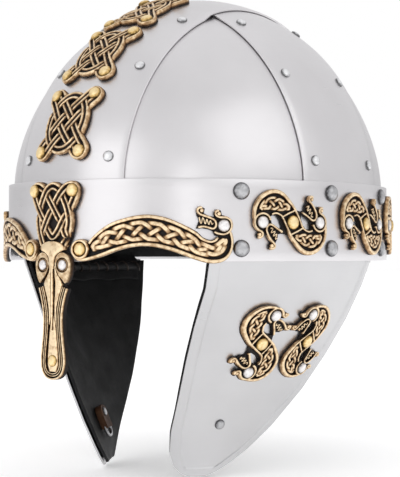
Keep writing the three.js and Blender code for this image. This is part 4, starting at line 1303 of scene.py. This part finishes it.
@dataclass
class Bowl:
    """Panels, the two straps over the crown and the brow band, with the steel rivets."""

    shell: Shell
    looks: Finishes
    front_width: float = 78.0
    lap: float = 11.0
    tip: float = 1.18
    skirt: float = 11.0
    panel_lift: float = 0.15
    rivet_inset: float = 9.0
    rivet_shares: tuple[float, ...] = (0.035, 0.2, 0.335, 0.665, 0.8, 0.965)
    band_rivet: Rivet = Rivet(3.0, 1.7)
    brow_rivet: Rivet = Rivet(4.7, 3.0)
    pair_levels: tuple[float, float] = (7.0, 37.5)
    pair_start: float = 104.7
    pairs: int = 5

    def pair_turn(self, pair: float) -> float:
        """Angle of a rivet pair from the face."""
        first = self.shell.tables["brow"].parameter(self.pair_start)
        return first + pair * (math.pi - first) / (self.pairs - 0.5)

    def panel(self, back: bool, side: Side) -> None:
        """Builds one panel between the straps.

        Args:
            back: whether it is behind the side band.
            side: the wearer's side.
        """
        form = Form()
        shell = self.shell
        under_front, under_side = self.front_width / 2 - self.lap, shell.side_band_width / 2 - self.lap
        top = math.acos(math.hypot(under_front / shell.half_width, under_side / shell.half_length) * self.tip)
        columns, rows, skirt_rows = 32, 44, 4

        def place(column: int, row: int) -> tuple[Vector, float]:
            tilt = max(row - skirt_rows, 0) / (rows - skirt_rows) * top
            reach = math.cos(tilt)
            start = math.asin(under_front / (shell.half_width * reach))
            end = math.acos(under_side / (shell.half_length * reach))
            point = shell.point(start + (end - start) * column / columns, tilt, self.panel_lift)
            point.z -= self.skirt * max(0.0, 1 - row / skirt_rows)
            if back:
                point.y = -point.y
            return point, 1.0

        form.grid(columns, rows, place)
        if back:
            form.turn_over()
        node = f"panel_{'back' if back else 'front'}_{side.value}"
        form.finish(f"{node}_sheet", self.looks.steel, "steel", [node], side, False, shell.sheet)

    def strap(self, name: str, node: str, width: float, surface: Surface) -> None:
        """Builds one strap of sheet.

        Args:
            name: its length table.
            node: the solid that it replaces.
            width: its width.
            surface: its outside.
        """
        form = Form()
        length = self.shell.tables[name].full
        columns, rows = 20, 150

        def place(column: int, row: int) -> tuple[Vector, float]:
            run = -self.skirt + (length + 2 * self.skirt) * row / rows
            return surface((column / columns - 0.5) * width, run, 0.0), 1.0

        form.grid(columns, rows, place)
        form.finish(f"{node}_sheet", self.looks.steel, "steel", [node], closed=False,
                    wall=self.shell.sheet, bevel=0.35)

    def brow_band(self) -> None:
        """Builds the band round the brow, arched over the eyes."""
        form, shell = Form(), self.shell
        rows = 8

        def place(turn: float, row: int) -> Vector:
            low = shell.arch(turn)
            return shell.wall(turn, low + (shell.brow_height - low) * row / rows, shell.brow_face)

        form.hoop(rows, place)
        form.finish("brow_band_sheet", self.looks.steel, "steel", ["brow_band"], closed=False,
                    wall=shell.sheet, bevel=0.3)

    def studs(self) -> None:
        """Sets the steel rivets in the straps and in the brow band."""
        straps, brow, shell = Form(), Form(), self.shell
        for name, width, surface in (("front", self.front_width, shell.front_band),
                                     ("side", shell.side_band_width, shell.side_band)):
            for share in self.rivet_shares:
                for side in (-1, 1):
                    spot = standing(surface, side * (width / 2 - self.rivet_inset),
                                    share * shell.tables[name].full)
                    self.band_rivet.add_to(straps, spot)
        straps.finish("strap_rivets", self.looks.satin, "steel")
        for pair in range(self.pairs):
            run = shell.tables["brow"].length(self.pair_turn(pair))
            for level in self.pair_levels:
                for side in (-1, 1):
                    self.brow_rivet.add_to(brow, standing(shell.brow, side * run, level))
        brow.finish("brow_rivets", self.looks.stud, "steel")

    def build(self) -> None:
        """Builds the whole bowl."""
        for side in Side:
            self.panel(False, side)
            self.panel(True, side)
        self.strap("front", "front_back_band", self.front_width, self.shell.front_band)
        self.strap("side", "side_band", self.shell.side_band_width, self.shell.side_band)
        self.brow_band()
        self.studs()


@dataclass
class Ornament:
    """The bronze castings on the bowl and the flaps, with their brass and silver rivets."""

    shell: Shell
    flap: FlapShape
    looks: Finishes
    bowl: Bowl
    dragon_level: float = 21.0
    knot_runs: tuple[tuple[str, float], ...] = (("low", 32.0), ("middle", 80.0), ("top", 127.0))
    flap_dragons: tuple[tuple[str, float, int], ...] = (("front", 0.374, -1), ("back", 0.694, 1))
    flap_drop: float = 46.0
    flap_lean: float = math.radians(10)
    brass: Rivet = Rivet(3.85, 1.8)
    small_brass: Rivet = Rivet(3.3, 1.6)
    tall_brass: Rivet = Rivet(3.7, 2.4)
    silver: Rivet = Rivet(3.4, 1.8)
    small_silver: Rivet = Rivet(3.0, 1.6)
    heads: dict[str, Form] = field(default_factory=dict)

    def rivet(self, metal: str, size: Rivet, surface: Surface, spot: Point, lift: float,
              mirrored: bool = False) -> None:
        """Sets one rivet in a casting.

        Args:
            metal: brass or silver.
            size: its head.
            surface: the surface under the casting.
            spot: where it stands.
            lift: how high it stands.
            mirrored: whether it goes to the wearer's other side.
        """
        place = standing(surface, spot[0], spot[1], lift)
        if mirrored:
            place = Matrix.Scale(-1, 4, (1, 0, 0)) @ place
        size.add_to(self.heads[metal], place)

    def dragons(self, pattern: DragonPattern) -> None:
        """Sets the S-dragons round the brow, at the nape and on the flaps."""
        flat = pattern.flat()
        level = (0.0, self.dragon_level)
        spots: list[tuple[str, Surface, Point, float, int, Side]] = []
        for number in range(self.bowl.pairs - 1):
            run = self.shell.tables["brow"].length(self.bowl.pair_turn(number + 0.5))
            spots += [(f"brow_dragon_{number + 1}_{side.value}", self.shell.brow, (run, self.dragon_level),
                       0.0, 1, side) for side in Side]
        spots.append(("brow_dragon_nape", self.shell.nape, level, 0.0, 1, Side.LEFT))
        for place, share, flip in self.flap_dragons:
            surface = self.flap.face(share, self.flap_drop)
            spots += [(f"cheek_dragon_{place}_{side.value}", surface, (0.0, 0.0),
                       math.pi / 2 + flip * self.flap_lean, flip, side) for side in Side]
        eyes = (pattern.eye, *scaled([pattern.eye], -1, -1))
        heads = [("brass", self.brass, (0.0, 0.0)), *(("silver", self.silver, eye) for eye in eyes)]
        for name, surface, shift, angle, flip, side in spots:
            form = flat.copy().bend(surface, shift, angle, flip, pattern.seat)
            form.finish(f"{name}_casting", self.looks.bronze, "bronze", [name], side)
            cosine, sine = math.cos(angle), math.sin(angle)
            for metal, size, (u, v) in heads:
                spot = (shift[0] + u * flip * cosine - v * sine, shift[1] + u * flip * sine + v * cosine)
                self.rivet(metal, size, surface, spot, pattern.top - 0.5, side is Side.RIGHT)

    def knots(self, pattern: KnotPattern) -> None:
        """Sets the three knots up the front band."""
        flat, band = pattern.flat(), self.shell.front_band
        for place, run in self.knot_runs:
            node = f"knot_plaque_{place}"
            form = flat.copy().bend(band, (0.0, run), lift=pattern.seat)
            form.finish(f"{node}_casting", self.looks.bronze, "bronze", [node])
            for u, v in pattern.rivets:
                self.rivet("brass", self.tall_brass, band, (u, run + v), pattern.top - 0.4)

    def face(self, nasal: NasalPattern, eyebrow: EyebrowPattern) -> None:
        """Sets the nose guard and the eyebrows."""
        brow = self.shell.brow
        form = nasal.flat().bend(brow, lift=nasal.seat)
        form.finish("nasal_casting", self.looks.bronze, "bronze", ["nasal"])
        for spot in nasal.rivets:
            size, sunk = (self.small_brass, 0.7) if spot[1] < 0 else (self.tall_brass, 0.2)
            self.rivet("brass", size, brow, spot, nasal.top - sunk)
        for spot in (scaled([nasal.socket], side, 1)[0] for side in (-1, 1)):
            self.rivet("silver", self.small_silver, brow, spot, nasal.top - 0.4)
        flat = eyebrow.flat()
        for side in Side:
            node = f"eyebrow_{side.value}"
            form = flat.copy().bend(brow, lift=eyebrow.seat)
            form.finish(f"{node}_casting", self.looks.bronze, "bronze", [node], side)
            mirrored = side is Side.RIGHT
            self.rivet("brass", self.tall_brass, brow, eyebrow.cup, eyebrow.top - 0.4, mirrored)
            self.rivet("silver", self.silver, brow, eyebrow.eye, eyebrow.top - 0.7, mirrored)

    def build(self) -> None:
        """Builds every casting and its rivets."""
        self.heads = {"brass": Form(), "silver": Form()}
        self.dragons(DragonPattern())
        self.knots(KnotPattern())
        self.face(NasalPattern(), EyebrowPattern())
        self.heads["brass"].finish("brass_rivets", self.looks.brass, "bronze")
        self.heads["silver"].finish("silver_rivets", self.looks.silver, "steel")


@dataclass
class CheekPieces:
    """The steel cheek flaps, their leather backs, laced hinges and chin fittings."""

    shell: Shell
    shape: FlapShape
    looks: Finishes
    leather: float = 2.0
    back: float = -2.55
    hinge_gap: float = 0.6
    roll_gap: float = 0.8
    roll_radius: float = 3.0
    roll_level: float = 4.5
    lining_inside: float = -4.1
    lining_top: float = 0.8
    rivet_share: float = 0.413
    rivet_drop: float = 92.0
    tab_half: float = 5.0
    tab_length: float = 10.5
    tab_fold: float = 3.2
    ring_radius: float = 4.6
    wire: float = 0.9
    tuck: float = 2.5
    wave: float = 0.22
    creases: float = 0.15
    lining_rim: float = 1.5
    lining_height: float = 41.5
    lining_gap: float = 0.9
    swing_level: float = 4.0
    swing_height: float = 5.5
    hinge_start: float = 0.04
    hinge_share: float = 0.9
    hinge_foot: float = -13.0
    hinge_height: float = 33.0
    hinge_wave: float = 0.5
    roll_span: Point = (0.07, 0.92)
    thong_span: Point = (0.075, 0.915)
    thong_turns: int = 15
    thong_reach: float = 2.75
    thong_radius: float = 0.62
    insides: tuple[float, ...] = (0.2, 1.5, 3.0, 4.2, 4.8, 5.4, 6.0, 6.6, 7.2, 8.6)

    def leather_piece(self, form: Form, node: str, part: str, side: Side) -> None:
        """Turns a sheet's face towards the head and makes it a piece of black leather."""
        form.turn_over()
        form.finish(f"{node}_{part}", self.looks.black, "black_leather", [node], side, False, 1.8, 0.5)

    def sheet(self, side: Side) -> None:
        """Builds one flap of steel with its raised border."""
        form, shape = Form(), self.shape
        middle, edge = 22, len(self.insides) - 1
        columns = middle + 2 * edge
        slope, last_even, narrow, tuck_end, tuck_fade = 1.2, 112.0, 2.4, 0.95, 0.05
        drops = [*np.linspace(-self.tuck, last_even, 58),
                 *(shape.drop - inside / slope for inside in reversed(self.insides))]

        def place(column: int, row: int) -> tuple[Vector, float]:
            drop = float(drops[len(drops) - 1 - row])
            width = shape.chord(drop)[1].length
            scale = min(1.0, width / narrow / self.insides[-1])
            if column <= edge:
                share = self.insides[column] * scale / width
            elif column >= columns - edge:
                share = 1 - self.insides[columns - column] * scale / width
            else:
                inner = self.insides[-1] * scale / width
                share = inner + (1 - 2 * inner) * (column - edge) / middle
            if drop < 0:
                drop *= ease((tuck_end - share) / tuck_fade)
            inside = min(share * width, (1 - share) * width, (shape.drop - drop) * slope)
            return shape.point(share, drop, shape.sheet + shape.raised(inside)), 1.0

        form.grid(columns, len(drops) - 1, place)
        node = f"cheek_flap_{side.value}"
        form.finish(f"{node}_sheet", self.looks.flap, "steel", [node], side, False, shape.sheet, 0.25)

    def lining(self, side: Side) -> None:
        """Builds the leather against the inside of one flap, with slow waves and creases."""
        form, shape = Form(), self.shape
        columns, rows, inset, foot = 44, 60, 1.6, 3.2
        bottom = shape.drop - foot

        def place(column: int, row: int) -> tuple[Vector, float]:
            drop = bottom - (bottom - self.lining_top) * row / rows
            width = shape.chord(drop)[1].length
            share = inset / width + (1 - 2 * inset / width) * column / columns
            wave = self.wave * math.sin(drop * 0.21 + share * 5.0) * math.sin(share * 9.0 + drop * 0.05)
            return shape.point(share, drop, self.back + wave), 1.0

        form.grid(columns, rows, place)
        self.leather_piece(form, f"cheek_lining_{side.value}", "leather", side)

    def hinge_point(self, share: float, level: float, inward: float) -> Vector:
        """Point on the hinge leather's face towards the flap, or inside it.

        Args:
            share: place along the flap from front to rear.
            level: height above the rim.
            inward: distance towards the head.

        Returns:
            The point.
        """
        top = self.shape.point(share, 0.0, 0.0)
        turn = math.atan2(top.x / self.shell.half_width, -top.y / self.shell.half_length)
        wall = self.shell.wall(turn, level, self.lining_inside - self.hinge_gap - inward)
        flap = self.shape.point(share, max(-level, 0.0), self.back - self.hinge_gap - inward)
        swing = ease((self.swing_level - level) / self.swing_height)
        return Vector((*wall.lerp(flap, swing).xy, level))

    def hinge(self, side: Side) -> None:
        """Builds the leather strip that one flap hangs on."""
        form = Form()
        columns, rows = 60, 22

        def place(column: int, row: int) -> tuple[Vector, float]:
            share = self.hinge_start + self.hinge_share * column / columns
            wave = self.hinge_wave * math.sin(share * 31.0)
            level = self.hinge_foot + self.hinge_height * row / rows + wave
            return self.hinge_point(share, level, self.leather), 1.0

        form.grid(columns, rows, place)
        self.leather_piece(form, f"hinge_leather_{side.value}", "strip", side)

    def roll(self, side: Side) -> None:
        """Builds the roll along the hinge and the thong laced round it."""
        depth = self.back - self.hinge_gap - (self.leather + self.roll_gap + self.roll_radius)

        def middle(share: float) -> Vector:
            return self.shape.point(share, self.roll_level, depth)

        form = Form()
        shares = [float(share) for share in np.linspace(*self.roll_span, 90)]
        radii = [self.roll_radius * (0.86 + 0.06 * math.sin(share * 70.0)) for share in shares]
        form.tube([middle(share) for share in shares], radii, 14)
        node = f"hinge_roll_{side.value}"
        form.finish(f"{node}_core", self.looks.black, "black_leather", [node], side)
        thong, winding, out = Form(), [], Vector((0, 0, 1))
        for share in map(float, np.linspace(*self.thong_span, 420)):
            angle = FULL_TURN * self.thong_turns * share
            centre = middle(share)
            across = (middle(share + 0.01) - centre).normalized().cross(out).normalized()
            winding.append(centre + (across * math.cos(angle) + out * math.sin(angle)) * self.thong_reach)
        thong.tube(winding, self.thong_radius, 8)
        thong.finish(f"{node}_thong", self.looks.thong, "black_leather", (), side)

    def chin(self, side: Side) -> None:
        """Builds the brown tab, its wire ring and its rivet."""
        face = self.shape.face(self.rivet_share, self.rivet_drop)
        behind = self.back - self.shape.sheet - 0.55

        def inner(u: float, v: float, w: float) -> Vector:
            return face(u, v, behind - w)

        tab = Form()
        columns, rows = 16, 24
        thick = self.leather * 2

        def place(column: int, row: int) -> tuple[Vector, float]:
            down = self.tab_length - (self.tab_length + self.tab_half) * row / rows
            half = self.tab_half
            if down < 0:
                half *= math.sqrt(max(1 - (down / self.tab_half) ** 2, 0.0))
            across = (2 * column / columns - 1) * half
            return inner(across, -down, thick), 1.0

        tab.grid(columns, rows, place)
        tab.weld(tab.mesh.verts[:])
        tab.turn_over()
        node = f"chin_tab_{side.value}"
        tab.finish(f"{node}_leather", self.looks.brown, "brown_leather", [node], side, False,
                   wall=thick - 0.1, bevel=0.7)
        ring = Form()
        drop = self.tab_length - self.tab_fold + self.ring_radius
        circle = [inner(self.ring_radius * math.cos(angle), -drop + self.ring_radius * math.sin(angle),
                        self.leather) for angle in np.linspace(0, 2 * math.pi, 49)]
        ring.tube(circle, self.wire, 12, looped=True)
        node = f"chin_ring_{side.value}"
        ring.finish(f"{node}_wire", self.looks.wire, "wire", [node], side)
        heads = Form()
        Rivet(3.0, 1.6).add_to(heads, standing(face, 0.0, 0.0))
        inside_head = standing(inner, 0.0, 0.0, thick) @ Matrix.Rotation(math.pi, 4, "X")
        Rivet(2.6, 1.1).add_to(heads, inside_head)
        heads.finish(f"chin_rivet_{side.value}", self.looks.stud, "steel", (), side)

    def brow_lining(self) -> None:
        """Builds the leather inside the brow, with slow creases."""
        form, shell = Form(), self.shell
        rows = 10

        def place(turn: float, row: int) -> Vector:
            low = shell.arch(turn) + self.lining_rim
            level = low + (self.lining_height - low) * row / rows
            wave = self.creases * math.sin(turn * 17.0) * math.sin(level * 0.3)
            return shell.wall(turn, level, -shell.sheet - self.lining_gap + wave - self.creases)

        form.hoop(rows, place)
        form.finish("lining_band_leather", self.looks.black, "black_leather", ["lining_band"],
                    closed=False, wall=1.8, bevel=0.5)

    def build(self) -> None:
        """Builds both sides."""
        self.brow_lining()
        for side in Side:
            for part in (self.sheet, self.lining, self.hinge, self.roll, self.chin):
                part(side)


@dataclass
class Studio:
    """A plain pale floor, soft light and the camera."""

    azimuth: float = 38.63
    elevation: float = -0.96
    distance: float = 0.8155
    target: Triple = (0.0, 0.0, 0.02)
    lens: float = 100.1
    shift: tuple[float, float] = (-0.0038, -0.0231)
    floor_level: float = -0.1235
    floor_glow: float = 0.32
    tones: tuple[Point, ...] = ((0.0, 0.8), (0.5, 0.58), (0.62, 0.8), (0.8, 0.84), (1.0, 0.8))
    lights: tuple[tuple[str, Triple, Point, float], ...] = (
        ("front_box", (-0.1, -1.7, 0.45), (1.2, 1.4), 3.0),
        ("left_box", (1.6, 0.0, 1.0), (1.5, 1.3), 2.6),
        ("low_box", (1.42, -1.28, 0.25), (0.3, 0.8), 0.9),
        ("top_box", (0.2, 0.3, 1.8), (1.6, 1.6), 0.8),
    )

    def floor(self) -> None:
        """Lays the floor."""
        mesh = bmesh.new()
        bmesh.ops.create_grid(mesh, x_segments=1, y_segments=1, size=6.0)
        bmesh.ops.translate(mesh, verts=mesh.verts, vec=(0, 0, self.floor_level))
        data = bpy.data.meshes.new("floor")
        mesh.to_mesh(data)
        mesh.free()
        floor = bpy.data.objects.new("floor", data)
        bpy.context.scene.collection.objects.link(floor)
        graph = Graph(bpy.data.materials.new("pale_floor"))
        graph.dress(Base_Color=(0.95, 0.95, 0.95, 1), Roughness=0.9,
                    Emission_Color=(1, 1, 1, 1), Emission_Strength=self.floor_glow)
        data.materials.append(graph.owner)


    def light(self, name: str, place: Sequence[float], size: Sequence[float], power: float) -> None:
        """Adds one soft light that faces the helmet.

        Args:
            name: the light's name.
            place: where it stands, in metres.
            size: its width and height.
            power: its power in watts.
        """
        data = bpy.data.lights.new(name, "AREA")
        data.shape = "RECTANGLE"
        data.size, data.size_y = size
        data.energy = power
        lamp = bpy.data.objects.new(name, data)
        lamp.location = place
        way = Vector((0, 0, 0.03)) - Vector(place)
        lamp.rotation_mode = "QUATERNION"
        lamp.rotation_quaternion = way.to_track_quat("-Z", "Y")
        bpy.context.scene.collection.objects.link(lamp)

    def sky(self) -> None:
        """Sets a white backdrop for the camera and a softly graded room for everything else."""
        graph = Graph(bpy.data.worlds.new("studio"))
        nodes = graph.tree.nodes
        height = graph.add("SeparateXYZ", "Z", {"Vector": graph.add("TexCoord", "Generated")})
        tones = [(place, (tone, tone, tone * 1.01)) for place, tone in self.tones]
        grade = graph.ramp(graph.span(height, 0.0, 1.0, -1.0, 1.0), tones)
        graph.link(grade, nodes["Background"].inputs["Color"])
        room = nodes["Background"].outputs["Background"]
        backdrop = graph.add("Background", "Background", Color=(1, 1, 1, 1))
        seen = graph.add("LightPath", "Is Camera Ray")
        both = graph.add("MixShader", "Shader", {"Fac": seen, 1: room, 2: backdrop})
        graph.link(both, nodes["World Output"].inputs["Surface"])
        bpy.context.scene.world = graph.owner

    def camera(self) -> None:
        """Sets the camera where the photograph was taken from."""
        azimuth, elevation = math.radians(self.azimuth), math.radians(self.elevation)
        back = Vector((math.sin(azimuth) * math.cos(elevation), -math.cos(azimuth) * math.cos(elevation),
                       math.sin(elevation)))
        data = bpy.data.cameras.new("camera")
        data.lens = self.lens
        data.shift_x, data.shift_y = self.shift
        camera = bpy.data.objects.new("camera", data)
        camera.location = Vector(self.target) + back * self.distance
        camera.rotation_mode = "QUATERNION"
        camera.rotation_quaternion = (-back).to_track_quat("-Z", "Y")
        bpy.context.scene.collection.objects.link(camera)
        bpy.context.scene.camera = camera

    def build(self) -> None:
        """Builds the studio."""
        bpy.context.scene.view_settings.view_transform = "Standard"
        self.floor()
        self.sky()
        for name, place, size, power in self.lights:
            self.light(name, place, size, power)
        self.camera()


def main() -> None:
    """Builds the helmet and its studio."""
    logging.basicConfig(level=logging.INFO, format="%(name)s %(message)s")
    looks = Finishes()
    shell = Shell()
    flap = FlapShape()
    bowl = Bowl(shell, looks)
    bowl.build()
    Ornament(shell, flap, looks, bowl).build()
    CheekPieces(shell, flap, looks).build()
    Studio().build()


if __name__ == "__main__":
    main()
